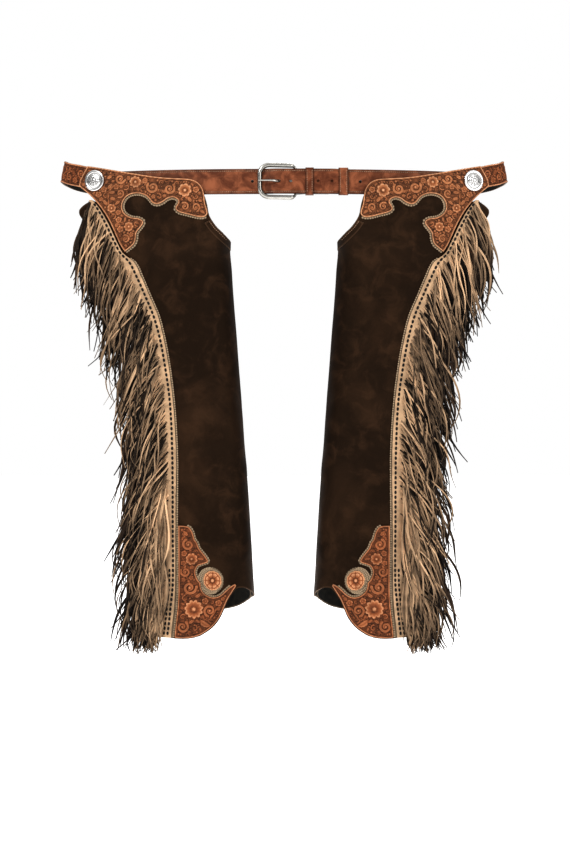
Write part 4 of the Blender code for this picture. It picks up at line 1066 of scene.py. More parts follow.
def cuff_tooling(across, up):
    tooling = Tooling(across, up, cuff_outline)
    stem(tooling, smooth_outline((
        (0.196, -0.680), (0.182, -0.715), (0.194, -0.750), (0.182, -0.785),
        (0.196, -0.805), (0.176, -0.830), (0.150, -0.848), (0.132, -0.826)),
        4, closed=False), 0.0022, 0.7)
    flower(tooling, (0.1760, -0.8270), 0.0190, 11, 0.1)
    scroll(tooling, (0.1840, -0.7850), 0.0135, 3.0, 1)
    scroll(tooling, (0.1860, -0.7010), 0.0115, 1.2, -1)
    scroll(tooling, (0.1980, -0.8620), 0.0120, 2.2, 1)
    flower(tooling, (0.1800, -0.7290), 0.0120, 8, 0.3)
    scroll(tooling, (0.1920, -0.7540), 0.0100, 0.4, -1)
    scroll(tooling, (0.1450, -0.8300), 0.0120, 5.0, 1)
    leaf(tooling, (0.1560, -0.8560), 0.0240, 0.5, 0.9)
    tooling.claim((0.1560, -0.8560), 0.0090)
    small = fill_gaps(tooling, 0.0016, 0.0066, 8)
    print("corner patch: small motifs", small)
    return finish_tooling(tooling, 0.0009, border=0.0022)


# %% Corner patches
cuffs = both_sides(
    "corner_patch", tooled_sheet(cuff_outline, TOOLED_CELL, cuff_tooling), (TOOLED_RED, FLESH, CUT))
declare(cuffs, ("cuff",))

# %% [markdown]
# The medallion is an oval rosette on its own scalloped ground.

# %% Medallions
MEDALLION_PLACE = (0.1400, -0.7712)
MEDALLION_TILT = math.radians(-20.0)
MEDALLION_CELL = 0.0009


def oval_outline(half_width, half_height, count, lobes=0, depth=0.0):
    angles = np.arange(count) * math.tau / count
    swell = 1 + depth * np.abs(np.cos(angles * lobes / 2)) if lobes else 1.0
    side, up = half_width * np.cos(angles) * swell, half_height * np.sin(angles) * swell
    cosine, sine = math.cos(MEDALLION_TILT), math.sin(MEDALLION_TILT)
    return [tuple(spot) for spot in np.stack((
        MEDALLION_PLACE[0] + side * cosine - up * sine,
        MEDALLION_PLACE[1] + side * sine + up * cosine), axis=1)]


medallion_outline = oval_outline(0.0164, 0.0188, 108, 12, 0.05)


def medallion_tooling(across, up):
    tooling = Tooling(across, up, medallion_outline)
    side, rise = across - MEDALLION_PLACE[0], up - MEDALLION_PLACE[1]
    reach, angle = np.hypot(side, rise * 0.90), np.arctan2(rise, side) - MEDALLION_TILT
    share = reach / 0.0165
    petal = np.abs(np.cos(angle * 4))
    slit = np.exp(-(petal * reach / 0.0019) ** 2) * smooth_step(0.15, 0.3, share)
    bowl = 0.35 + 0.65 * smooth_step(0.30, 0.72, share)
    heart = 1 - smooth_step(0.14, 0.22, share)
    ring = np.exp(-((share - 0.27) / 0.05) ** 2)
    scallop = np.exp(-((share - 0.74 - 0.12 * petal) / 0.035) ** 2)
    level = np.maximum(bowl * (1 - 0.95 * slit) * (1 - 0.9 * scallop), heart)
    level *= 1 - 0.9 * ring
    veins = 0.35 * np.cos(angle * 32) * smooth_step(0.3, 0.6, share)
    level = np.clip(level + veins * 0.5, 0, 1)
    edge = tooling.edge
    rim = 1 - smooth_step(0.0010, 0.0022, edge)
    level = np.maximum(level, rim)
    rounded = 1 - smooth_step(0, 0.0010, edge)
    return (level - 0.7) * 0.0012 - rounded * 0.0007, np.clip(0.05 + 0.95 * level, 0, 1)


medallions = both_sides(
    "oval_rosette", tooled_sheet(medallion_outline, MEDALLION_CELL, medallion_tooling),
    (TOOLED_RED, FLESH, CUT))
declare(medallions, ("medallion",))

# %% [markdown]
# Under every tooled piece a softer leather peeks out, cut in tiny scallops. Each
# scallop is punched up into a small pale dome. The domes are one small shape, copied
# hundreds of times in a bmesh and then placed by numpy.

# %% Many copies of a small shape
def copies_of(template, count):
    """A bmesh that holds this many copies of a template, in order."""
    form = template.copy()
    sizes = len(template.verts), len(template.edges), len(template.faces)
    made = 1
    while made < count:
        more = min(made, count - made)
        geometry = form.verts[:sizes[0] * more] + form.edges[:sizes[1] * more]
        geometry += form.faces[:sizes[2] * more]
        bmesh.ops.duplicate(form, geom=geometry)
        made += more
    return form


def place_copies(name, template, points, mesh_material, values=None):
    """Mesh of placed copies; points has one row of places for each copy."""
    form = copies_of(template, len(points))
    for face in form.faces:
        face.smooth = True
    mesh = bpy.data.meshes.new(name)
    form.to_mesh(mesh)
    form.free()
    mesh.vertices.foreach_set("co", np.asarray(points, dtype=np.float32).ravel())
    for label, numbers in (values or {}).items():
        layer = mesh.attributes.new(label, "FLOAT", "POINT")
        layer.data.foreach_set("value", np.asarray(numbers, dtype=np.float32).ravel())
    mesh.materials.append(mesh_material)
    mesh.update()
    return mesh


def join_meshes(name, meshes, materials):
    """One form from several meshes, keeping their attributes and materials."""
    form = bmesh.new()
    for mesh in meshes:
        first = len(form.faces)
        form.from_mesh(mesh)
        form.faces.ensure_lookup_table()
        slots = [materials.index(material) for material in mesh.materials]
        for face in form.faces[first:]:
            face.material_index = slots[face.material_index]
    for mesh in meshes:
        bpy.data.meshes.remove(mesh)
    return form


# %% Scalloped edgings
DOME_PITCH = 0.0046
DOME_RADIUS = 0.0017
DOME_TONE, FLAT_TONE = 0.85, 0.12
FINE_SPOTS = 6
WALK_STEP = 5e-4
EDGING_CELL = 0.004


def walk(outline, pitch, closed=False):
    """Evenly spaced spots along a run of points, and the outward side of each."""
    spots = np.array(list(outline) + ([outline[0]] if closed else []))
    walked = walked_along(spots)
    count = max(2, int(walked[-1] / pitch))
    stations = (np.arange(count) + 0.5) * walked[-1] / count

    def spot_at(distance):
        return np.stack([np.interp(distance, walked, spots[:, axis]) for axis in (0, 1)], axis=1)

    along = spot_at(stations + WALK_STEP) - spot_at(stations - WALK_STEP)
    along /= np.linalg.norm(along, axis=1)[:, None]
    return spot_at(stations), np.stack((along[:, 1], -along[:, 0]), axis=1)


def scalloped(places, outward, reach, depth=0.0011):
    """Edge line moved out and cut in small scallops."""
    lobe = np.abs(np.sin(np.pi * np.arange(len(places)) / FINE_SPOTS))
    return places + outward * (reach - depth + depth * lobe)[:, None]


dome_template = bmesh.new()
bmesh.ops.create_uvsphere(dome_template, u_segments=8, v_segments=5, radius=1.0)
# Laying a copy mirrors it, so the template's faces point the other way
bmesh.ops.reverse_faces(dome_template, faces=dome_template.faces[:])
dome_local = np.array([vert.co[:] for vert in dome_template.verts])


def domes_on(places, out, radius):
    """Flattened domes centred on places of the front, at a distance out."""
    across, up = places[:, 0], places[:, 1]
    centre = on_front(across, up, np.full(len(places), out))
    outward = on_front(across, up, np.full(len(places), out + 0.001)) - centre
    outward /= np.linalg.norm(outward, axis=1)[:, None]
    side = np.cross(outward, (0.0, 0.0, 1.0))
    side /= np.linalg.norm(side, axis=1)[:, None]
    third = np.cross(side, outward)
    local = dome_local * np.array((radius, radius, radius * 0.55))
    return (centre[:, None, :] + local[None, :, :1] * side[:, None, :]
            + local[None, :, 1:2] * third[:, None, :] + local[None, :, 2:] * outward[:, None, :])


def plain_tone(across, up):
    return np.zeros(len(across)), np.full(len(across), FLAT_TONE)


def with_domes(name, node, sheet, spots):
    """A laid sheet and its domes as one piece on each side."""
    close_form(sheet)
    flat = bpy.data.meshes.new("flat")
    sheet.to_mesh(flat)
    sheet.free()
    for material in (EDGING, FLESH, CUT):
        flat.materials.append(material)
    points = domes_on(spots, UNDER_HIGH + 0.0001, DOME_RADIUS)
    domes = place_copies("domes", dome_template, points, EDGING, {
        "carve_and_painted_light": np.full(points.shape[:2], DOME_TONE)})
    form = join_meshes(name, [flat, domes], [EDGING, FLESH, CUT])
    pieces = both_sides(name, form, (EDGING, FLESH, CUT))
    declare(pieces, (node,))
    print(name, "domes:", len(spots))
    return pieces


def edging(name, node, shown, hidden, reach):
    """Scalloped underlay along the shown edge, tucked under along the hidden one."""
    line = scalloped(*walk(shown, DOME_PITCH / FINE_SPOTS), reach)
    outline = [tuple(spot) for spot in line] + list(hidden)
    spots, side = walk(shown, DOME_PITCH)
    sheet = lay_sheet(
        cut_sheet(outline, EDGING_CELL, EDGING_CELL), on_front, UNDER_LOW, UNDER_HIGH, plain_tone)
    return with_domes(name, node, sheet, spots + side * (reach - 0.0020))


UNDERLAY_UPPER = (
    (0.3180, -0.1060), (0.3260, -0.0800), (0.3280, -0.0500), (0.3200, -0.0180),
    (0.2900, -0.0080), (0.2500, -0.0120), (0.2000, -0.0140), (0.1720, -0.0160),
    (0.1600, -0.0260), (0.1560, -0.0430), (0.1515, -0.0560),
)
yoke_edging = edging(
    "yoke_edging", "yoke_underlay", smooth_outline(YOKE_SCALLOP, 4, closed=False),
    UNDERLAY_UPPER, 0.0044)
cuff_hidden = [(0.1005, -0.7850)] + [
    (across * 0.985 + 0.0045, up + 0.0040) for across, up in CUFF_HEM[1:-2]]
cuff_hidden += [(0.2080, -0.8700), (0.2050, -0.8200), (0.2030, -0.7700), (0.2030, -0.7000)]
cuff_edging = edging(
    "patch_edging", "cuff_underlay", smooth_outline(CUFF_INNER[1:-1], 4, closed=False),
    cuff_hidden, 0.0038)
print("edgings made")

# %% [markdown]
# The medallion's own ground is a wider oval with a scalloped edge. It reaches into the
# notch of the corner patch and under it. Rings of the same punched domes cover what
# shows of it, so it looks bumpy beside the smooth petals.

# %% Medallion edging
SURROUND_SIZES = (0.0245, 0.0258)
NOTCH_SHIFT = (0.0038, -0.0006)
RING_SIZES = (0.0186, 0.0210)
RING_PITCH = 0.0034
RING_GROWTH = 0.0046
CLEAR_OF_RING, CLEAR_OF_PATCH = 0.0019, 0.0036


def towards_notch(outline, share):
    """Move an oval a little into the notch of the corner patch."""
    aside, rise = NOTCH_SHIFT[0] * share, NOTCH_SHIFT[1] * share
    return [(across + aside, up + rise) for across, up in outline]


surround = towards_notch(oval_outline(*SURROUND_SIZES, 180, 30, 0.05), 1.0)
ring = walk(oval_outline(*RING_SIZES, 90), RING_PITCH, True)[0]
dome_spots = [ring]
for share in (0.5, 1.0):
    wider = [size + share * RING_GROWTH for size in RING_SIZES]
    spots = walk(towards_notch(oval_outline(*wider, 90), share), RING_PITCH, True)[0]
    from_ring = distance_to_edge(spots[:, 0], spots[:, 1], ring)
    from_patch = distance_to_edge(spots[:, 0], spots[:, 1], cuff_outline)
    ring = spots
    dome_spots.append(spots[(from_ring > CLEAR_OF_RING) & (from_patch > CLEAR_OF_PATCH)])
rosette_edging = with_domes("rosette_edging", "medallion_underlay", lay_sheet(
    cut_sheet(surround, EDGING_CELL, EDGING_CELL), on_front, UNDER_LOW, UNDER_HIGH - 0.0002,
    plain_tone), np.vstack(dome_spots))

# %% [markdown]
# A narrow scalloped strip shows along the inner side of the fringe band, and a
# plain facing strip binds the curved crotch cut.

# %% Band edging and crotch facing
SCALLOP_STRIP_TOP, SCALLOP_STRIP_WIDTH = -0.142, 0.0105
strip_heights = np.linspace(SCALLOP_STRIP_TOP, BAND_BOTTOM, 90)
strip_inner = read_rows(BAND_ROWS, strip_heights)[0]
strip_line = list(zip(strip_inner, strip_heights))
strip_fine, strip_side = walk(strip_line, DOME_PITCH / FINE_SPOTS)
strip_cut = scalloped(strip_fine, strip_side, 0.0, depth=0.0009)
band_edging = with_domes("band_edging", "band_scallop", lay_sheet(
    cut_sheet(
        [tuple(spot) for spot in strip_cut]
        + [(across + SCALLOP_STRIP_WIDTH, up) for across, up in strip_line[::-1]], 0.006, 0.006),
    on_front, UNDER_LOW, UNDER_HIGH, plain_tone), strip_fine[3::6] - strip_side[3::6] * 0.0016)

CROTCH_STRIP_EDGE = (
    (0.1405, -0.0728), (0.1316, -0.0847), (0.1186, -0.0963), (0.1091, -0.1048),
)
CROTCH_STRIP_INSIDE = (
    (0.1535, -0.0788), (0.1430, -0.0930), (0.1265, -0.1085), (0.1125, -0.1190),
)
facing_outline = on_turns_from_front(smooth_outline(CROTCH_STRIP_EDGE, 4, closed=False))
facing_outline += on_turns(((2, -0.1092), (2, -0.1230)))
facing_outline += on_turns_from_front(smooth_outline(CROTCH_STRIP_INSIDE, 4, closed=False))[::-1]
crotch_facing = both_sides("crotch_facing", lay_sheet(
    cut_sheet(facing_outline, 0.003, 0.003), on_leg_arc, UNDER_LOW, UNDER_HIGH,
    soft_panel(facing_outline)), (CHAP, FLESH, CUT))
declare(crotch_facing, ("crotch_strip",))

# %% [markdown]
# Each fringe is one strip of leather slashed into strands. Layers of strands hang
# over each other, as the rows of Layer say. A strand is a thin ribbon
# made once from a grid and thickened. It is copied hundreds of times, and numpy
# bends each copy along its own path: out from the band, then down as weight wins.
# Neighbours share slow changes, so the strands gather in locks as real ones do.

# %% Strand shape and random flow
# Columns: height, swing outwards for each metre of drop, length
LANE_ROWS = (
    (-0.030, 0.10, 0.130), (-0.080, 0.16, 0.155), (-0.130, 0.14, 0.168),
    (-0.200, 0.22, 0.165), (-0.300, 0.28, 0.165), (-0.360, 0.38, 0.165),
    (-0.450, 0.38, 0.160), (-0.600, 0.42, 0.160), (-0.720, 0.42, 0.155),
    (-0.800, 0.38, 0.140), (-0.884, 0.26, 0.110),
)
STRAND_STEPS = 14
STRAND_THICKNESS = 0.0011
FRINGE_FLOOR = -0.918
LEAST_SWING = 0.05

strand_template = bmesh.new()
bmesh.ops.create_grid(strand_template, x_segments=1, y_segments=STRAND_STEPS, size=1.0)
bmesh.ops.solidify(strand_template, geom=strand_template.faces[:], thickness=0.5)
# Laying a copy mirrors it, so the template's faces point the other way
bmesh.ops.reverse_faces(strand_template, faces=strand_template.faces[:])
strand_local = np.array([vert.co[:] for vert in strand_template.verts])
strand_across = np.sign(strand_local[:, 0])
strand_rank = np.rint((1 - np.clip(strand_local[:, 1], -1, 1)) / 2 * STRAND_STEPS).astype(int)
strand_layer = np.where(strand_local[:, 2] > strand_local[:, 2].mean(), 0.5, -0.5)
print("strand faces", len(strand_template.faces))


def slow_noise(rng, count, every):
    """Values that change slowly from one strand to the next."""
    knots = rng.uniform(-1, 1, int(count / every) + 3)
    return np.interp(np.arange(count) / every, np.arange(len(knots)), knots)


def hanging_paths(rng, layer, heights, out):
    """Middle line of every strand: strands by steps by three."""
    count = len(heights)
    inner, root = read_rows(BAND_ROWS, heights)[::2]
    roots = rng.uniform(*layer.root, count)
    start = on_front(inner + (root - inner) * roots, heights, np.full(count, out))
    swing, length = read_rows(LANE_ROWS, heights)
    length = length * layer.scale * (
        1 + 0.10 * slow_noise(rng, count, 7) + rng.uniform(-0.16, 0.08, count))
    length = np.minimum(length, start[:, 2] - FRINGE_FLOOR - rng.uniform(0, 0.030, count))
    swing = swing * rng.uniform(0.55, 1.25, count) + layer.more_swing
    swing = np.maximum(swing + 0.07 * slow_noise(rng, count, 6), LEAST_SWING)
    share = np.linspace(0, 1, STRAND_STEPS + 1)[None, :]
    bow = (layer.bow * rng.uniform(0.5, 1.6, count))[:, None]
    reach = (swing * length)[:, None] * (share * (1 + bow) - bow * share ** 2)
    drop = length[:, None] * share
    phase = (3.0 * slow_noise(rng, count, 5) + rng.uniform(-0.9, 0.9, count))[:, None]
    ripple = layer.wave * (1 + rng.uniform(-0.5, 0.7, count))[:, None]
    pace = rng.uniform(3.0, 7.5, count)[:, None]
    reach += ripple * np.sin(share * pace + phase) * share ** 0.7
    curl = rng.normal(0, 0.075, count)[:, None] * length[:, None]
    reach += curl * np.sin(share * math.pi) * share ** 0.5
    flick = rng.normal(0.02, 0.07, count)[:, None] * length[:, None]
    reach += flick * share ** 4
    side = layer.sideways + 0.12 * slow_noise(rng, count, 6) + rng.uniform(-0.12, 0.12, count)
    depth = start[:, 1:2] - layer.forward * np.minimum(1, share * 4) + side[:, None] * reach
    depth += 0.8 * ripple * np.cos(share * pace * 0.9 + phase * 1.7) * share ** 0.7
    across = start[:, :1] + reach
    height = start[:, 2:] - drop
    outer = read_rows(LEG_ROWS, height.ravel())[1].reshape(height.shape)
    held = np.minimum(across, outer - 0.002)
    turns = front_turns(held.ravel(), height.ravel())
    skin = on_leg(turns, height.ravel(), np.zeros(height.size))[:, 1].reshape(height.shape)
    spare = rng.uniform(0, 0.004, count)[:, None]
    front = skin - layer.clearance - spare * np.minimum(1, share * 3)
    # Over the leg a strand stays in front of it; beside the leg this rule fades out
    over_leg = 1 - smooth_step(0.0, 0.012, across - outer)
    depth = depth * (1 - over_leg) + np.minimum(depth, front) * over_leg
    settle = np.minimum(1, share * 7)
    depth = start[:, 1:2] * (1 - settle) + depth * settle
    return np.stack((across, depth, height), axis=2)


def ribbon_points(rng, paths, widths, twist):
    """Corner points of ribbons along paths, turned to face outwards and twisted."""
    count, steps = paths.shape[:2]
    along = np.gradient(paths, axis=1)
    along /= np.linalg.norm(along, axis=2)[:, :, None]
    yaw = rng.uniform(-0.5, 0.7, count)
    face = np.stack((0.35 + yaw, -np.ones(count), 0.1 * np.ones(count)), axis=1)[:, None, :]
    wide = np.cross(along, np.broadcast_to(face, along.shape))
    wide /= np.linalg.norm(wide, axis=2)[:, :, None]
    thick = np.cross(wide, along)
    share = np.linspace(0, 1, steps)[None, :]
    turn = rng.normal(0, twist, count)[:, None] * share ** 1.3
    turned = wide * np.cos(turn)[:, :, None] + thick * np.sin(turn)[:, :, None]
    facing = np.cross(turned, along)
    taper = (1 - 0.75 * smooth_step(0.70, 1.0, share)) * (1 - 0.10 * share)
    half = (widths[:, None] / 2 * taper)[:, :, None]
    rank = strand_rank
    return (paths[:, rank, :] + turned[:, rank, :] * half[:, rank, :] * strand_across[None, :, None]
            + facing[:, rank, :] * STRAND_THICKNESS * strand_layer[None, :, None])


# %% Fringe builder
BAND_CELL = 0.0032
BAND_TONE = 0.72
WHOLE_BAND = (BAND_TOP - 0.001, BAND_BOTTOM + 0.002)


def band_outline(inner_share, root_share):
    """The strip from its inner edge to where the strands begin."""
    heights = np.linspace(BAND_TOP, BAND_BOTTOM, 150)
    inner, root = read_rows(BAND_ROWS, heights)[::2]
    left = inner + (root - inner) * inner_share
    right = inner + (root - inner) * root_share
    return list(zip(left, heights)) + list(zip(right, heights))[::-1]


def band_grain(across, up):
    return np.sin(up * 310 + across * 90) * 0.00015, np.full(len(up), 0.5)


def fringe(name, node, suede_material, low, high, shares, layers, seed):
    """A band and its layers of strands, for both sides."""
    pieces = {}
    for number, (tag, side) in enumerate(SIDES):
        rng = np.random.default_rng(seed + 17 * number)
        sheet = lay_sheet(
            cut_sheet(band_outline(*shares), BAND_CELL, BAND_CELL), on_front, low, high,
            band_grain)
        close_form(sheet)
        band = bpy.data.meshes.new("band")
        sheet.to_mesh(band)
        sheet.free()
        band.materials.append(suede_material)
        for polygon in band.polygons:
            polygon.material_index = 0
        tones = band.attributes.new("strand_tone", "FLOAT", "POINT")
        tones.data.foreach_set("value", np.full(len(band.vertices), BAND_TONE, dtype=np.float32))
        band.attributes.new("tip", "FLOAT", "POINT")
        meshes, strands = [band], 0
        for layer in layers:
            count = layer.count
            first, last = layer.span
            heights = first + (last - first) * (
                (np.arange(count) + 0.5 + rng.uniform(-0.25, 0.25, count)) / count)
            paths = hanging_paths(rng, layer, heights, (low + high) / 2 + layer.rise)
            widths = rng.uniform(*layer.widths, count)
            points = ribbon_points(rng, paths, widths, layer.twist)
            tone = 0.55 + 0.45 * slow_noise(rng, count, 4) + rng.uniform(-0.50, 0.50, count)
            # Some strands are made dark: stained strands, and painted shade in the layers
            # underneath, which get the most
            tone = np.clip(tone - 1.1 * (rng.uniform(0, 1, count) < layer.stained), -0.6, 1.4)
            share = strand_rank[None, :] / STRAND_STEPS
            fade = rng.uniform(0.45, 1.0, count)[:, None] * smooth_step(layer.fade, 1.0, share)
            meshes.append(place_copies("strands", strand_template, points, suede_material, {
                "strand_tone": np.broadcast_to(tone[:, None], points.shape[:2]),
                "tip": fade}))
            strands += count
        form = join_meshes(name, meshes, [suede_material])
        if side < 0:
            bmesh.ops.scale(form, vec=(-1, 1, 1), verts=form.verts)
            bmesh.ops.reverse_faces(form, faces=form.faces)
        pieces[tag] = piece_from("%s_%s" % (name, tag), form, (suede_material,))
    declare(pieces, (node,))
    print(name, "strands a side:", strands, "faces a side:", len(pieces["l"].data.polygons))
    return pieces


# %% Fringes
Layer = namedtuple(
    "Layer", "count root rise forward sideways more_swing clearance scale bow wave widths"
    " twist stained fade span", defaults=(WHOLE_BAND,))
WIDE, MEDIUM, FINE = (0.0038, 0.0064), (0.0024, 0.0046), (0.0020, 0.0034)
DARK_LAYERS = (
    Layer(250, (1.00, 1.05), 0.0, 0.001, 0.34, 0.04, 0.0035, 1.00, 0.80, 0.0040, WIDE,
          0.8, 0.2, 0.3),
    Layer(250, (1.00, 1.05), -0.0002, 0.002, 0.12, 0.00, 0.0045, 0.98, 0.70, 0.0050, WIDE,
          0.7, 0.2, 0.3),
    Layer(200, (0.98, 1.03), -0.0003, 0.001, 0.20, -0.12, 0.0030, 0.90, 0.60, 0.0035,
          (0.0040, 0.0066), 0.4, 0.5, 0.2),
    Layer(40, (0.9, 1.5), 0.0008, 0.001, 0.10, 0.02, 0.0040, 0.88, 0.50, 0.0035, WIDE,
          0.6, 0.3, 0.3, (-0.034, -0.090)),
    Layer(34, (1.3, 2.4), 0.0008, 0.001, 0.10, -0.02, 0.0040, 0.80, 0.50, 0.0035, WIDE,
          0.6, 0.3, 0.3, (-0.048, -0.105)),
)
TAN_LAYERS = (
    Layer(170, (0.62, 0.96), 0.0, 0.006, 0.10, 0.06, 0.0090, 0.98, 0.80, 0.0050, MEDIUM,
          0.9, 0.30, 0.25),
    Layer(90, (0.55, 0.95), 0.0004, 0.008, 0.05, 0.14, 0.0120, 0.86, 1.05, 0.0065, FINE,
          1.0, 0.12, 0.35),
    Layer(60, (0.60, 0.95), 0.0008, 0.009, 0.05, -0.02, 0.0135, 0.90, 0.80, 0.0080, FINE,
          0.9, 0.05, 0.45),
    Layer(84, (0.74, 0.95), 0.0004, 0.007, 0.05, -0.24, 0.0130, 1.10, 0.50, 0.0050,
          (0.0024, 0.0042), 0.5, 0.03, 0.70, (-0.560, -0.872)),
)
dark_fringe = fringe(
    "dark_fringe", "fringe_dark", DARK_SUEDE, 0.0018, 0.0030, (0.22, 1.06), DARK_LAYERS, 40)
tan_fringe = fringe(
    "tan_fringe", "fringe_tan", TAN_SUEDE, 0.0033, 0.0048, (0.14, 0.97), TAN_LAYERS, 80)

# %% [markdown]
# Hip straps and belts follow the waist loop. Each is a flat strip laid along a
# path, with its edges rounded over and a stitch channel pressed near each edge.

# %% Strap helpers
# Columns: turn round the loop, middle height, half width, lean
HIP_STRAP = (
    (51, 0.0070, 0.0215, 0.000), (62, 0.0190, 0.0218, 0.002), (72, 0.0270, 0.0214, 0.005),
    (82, 0.0350, 0.0208, 0.007), (90, 0.0375, 0.0208, 0.008), (99, 0.0365, 0.0215, 0.007),
    (110, 0.0335, 0.0230, 0.005), (122, 0.0320, 0.0238, 0.003), (134, 0.0345, 0.0235, 0.001),
)
BACK_STRAP = (
    (126, 0.0335, 0.0232, 0.002), (138, 0.0365, 0.0230, 0.000), (150, 0.0420, 0.0230, 0.000),
    (160, 0.0455, 0.0230, 0.000), (170, 0.0480, 0.0230, 0.000), (180, 0.0485, 0.0230, 0.000),
    (190, 0.0480, 0.0230, 0.000), (200, 0.0455, 0.0230, 0.000), (210, 0.0420, 0.0230, 0.000),
    (222, 0.0365, 0.0230, 0.000), (234, 0.0335, 0.0232, 0.002),
)
HIP_STRAP_OUT, BACK_STRAP_OUT = -0.0021, -0.0060
STRAP_LEATHER, BELT_LEATHER = 0.0032, 0.0035


def strap_on_loop(rows, middle_out):
    """Length of a strap on the waist loop, and the place of (along, up, out) on it."""
    table = [(-turn, centre, half, lean) for turn, centre, half, lean in rows]
    turns = np.linspace(rows[0][0], rows[-1][0], 240)
    centre = read_rows(table, -turns)[0]
    places = on_loop(np.radians(turns), np.full(len(turns), middle_out), centre)
    walked = walked_along(places)

    def place(along, up, outs):
        degrees = np.interp(along, walked, turns)
        middle, half, lean = read_rows(table, -degrees)
        out = middle_out + outs - np.clip(up / half, -1, 1) * lean / 2
        return on_loop(np.radians(degrees), out, middle + up)

    def half_width(along):
        return read_rows(table, -np.interp(along, walked, turns))[1]

    return walked[-1], place, half_width


def strip_outline(length, half_width, stations=60):
    along = np.linspace(0, length, stations)
    half = half_width(along)
    return list(zip(along, -half)) + list(zip(along, half))[::-1]


def edge_finish(edge, tone, rounding=0.0012, channel=0.0042):
    """Rounded edges and a pressed stitch channel along them, both painted darker as painted shade.
    """
    rounded = rounded_over(edge, rounding)
    groove = np.exp(-((edge - channel) / 0.0007) ** 2)
    # Painted shade: the tone drops on the rounded edge, in the channel and towards the edge
    tone = tone * (1 - 0.85 * rounded) * (1 - 0.80 * groove)
    tone = tone * (0.45 + 0.55 * smooth_step(0.0, channel, edge))
    return -rounded * rounding * 0.9 - groove * 0.0004, np.clip(tone, 0, 1)


# %% Hip straps
hip_length, hip_place, hip_half = strap_on_loop(HIP_STRAP, HIP_STRAP_OUT)
hip_outline = strip_outline(hip_length, hip_half)
VINE_PITCH = 0.031


def hip_tooling(along, up):
    tooling = Tooling(along, up, hip_outline)
    steps = np.linspace(0.0, hip_length, 90)
    vine = np.stack((steps, 0.0075 * np.sin(steps * math.pi / VINE_PITCH)), axis=1)
    stem(tooling, vine, 0.0019, 1.0)
    for number in range(int(hip_length / VINE_PITCH)):
        centre = VINE_PITCH * (number + 0.5)
        below = 1 if number % 2 == 0 else -1
        scroll(tooling, (centre, -below * 0.0050), 0.0088, below * 1.6, -below)
        if number % 2:
            flower(tooling, (centre + 0.0150, below * 0.0100), 0.0062, 6, 0.3)
    small = fill_gaps(tooling, 0.0018, 0.0055, 21)
    print("hip strap: small motifs", small)
    return finish_tooling(tooling, 0.0008, border=0.0028)


hip_straps = both_sides("tooled_strap", lay_sheet(
    cut_sheet(hip_outline, 0.0016, 0.0014), hip_place,
    -STRAP_LEATHER / 2, STRAP_LEATHER / 2, hip_tooling), (TOOLED_RED, FLESH, CUT))
declare(hip_straps, ("hip_strap",))

# %% Back strap
STRAP_CELLS = (0.006, 0.0014)


def single(name, form, materials, node):
    close_form(form)
    piece = piece_from(name, form, materials)
    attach(piece, "root")
    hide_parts(node)
    print(name, "faces:", len(piece.data.polygons))
    return piece


back_length, back_place, back_half = strap_on_loop(BACK_STRAP, BACK_STRAP_OUT)
back_outline = strip_outline(back_length, back_half)


def edged(outline):
    def relief(along, up):
        return edge_finish(distance_to_edge(along, up, outline), np.full(len(along), 0.95))

    return relief


back_strap = single("rear_strap", lay_sheet(
    cut_sheet(back_outline, *STRAP_CELLS), back_place,
    -STRAP_LEATHER / 2, STRAP_LEATHER / 2, edged(back_outline)),
    (BELT, FLESH, EDGE_DYE_AND_SHADE), "back_strap")

# %% [markdown]
# The belt is two straps. The tongue comes from one hip, steps up over the buckle's
# bars and ends in a shaped tip. The other strap folds back round the heel bar, so
# that the buckle can turn on it. Round holes are punched before thickening.

# %% Belt paths
BELT_HALF_WIDTH = 0.0240
BELT_END = 0.325
BELT_REST_OUT, TIP_OUT, FOLD_OUT = -0.00525, -0.00145, -0.00905
TIP_END = 0.125
HEEL_BAR, FRONT_BAR, BAR_RADIUS = 0.0240, -0.0470, 0.0022
BAR_OUT = BELT_REST_OUT - 0.00175 - 0.0003 - BAR_RADIUS
SEAM_GAP = 0.0003
WAIST_STEP = 0.002


def front_of_waist(across, outs, heights):
    """Points on the front of the waist: across is signed, out is outward."""
    across = np.asarray(across, dtype=float)
    rise = waist_front_y(across + WAIST_STEP) - waist_front_y(across - WAIST_STEP)
    slope = rise / (2 * WAIST_STEP)
    size = np.hypot(slope, 1.0)
    return np.stack((
        across + slope / size * outs, waist_front_y(across) - outs / size,
        np.zeros(len(across)) + heights), axis=1)


def strap_on_path(path):
    """Length of a strap on a path of (across, out), and the place on it."""
    spots = np.array(path)
    walked = walked_along(spots)
    along_path = np.gradient(spots, axis=0)
    along_path /= np.linalg.norm(along_path, axis=1)[:, None]

    def place(along, up, outs):
        middle = [np.interp(along, walked, spots[:, axis]) for axis in (0, 1)]
        step = [np.interp(along, walked, along_path[:, axis]) for axis in (0, 1)]
        return front_of_waist(middle[0] - step[1] * outs, middle[1] + step[0] * outs, up)

    def reach(across):
        return float(np.interp(across, spots[:, 0], walked))

    return walked[-1], place, reach


def punch(form, start, end, radius):
    """Open a round hole, or a slot from start to end, in a flat cut sheet."""
    line = [start, end] if start != end else [start, (start[0] + 1e-6, start[1])]
    centres = np.array([face.calc_center_median()[:2] for face in form.faces])
    inside = nearest_on_line(centres[:, 0], centres[:, 1], line)[0] < radius
    gone = [face for face, is_inside in zip(form.faces[:], inside) if is_inside]
    bmesh.ops.delete(form, geom=gone, context="FACES")
    for vert in {vert for edge in form.edges if edge.is_boundary for vert in edge.verts}:
        spot = np.array(vert.co[:2])
        near = np.clip(spot[0], min(start[0], end[0]), max(start[0], end[0]))
        offset = spot - np.array((near, start[1]))
        distance = np.linalg.norm(offset)
        if 1e-6 < distance < radius * 2.2:
            vert.co.xy = np.array((near, start[1])) + offset / distance * radius


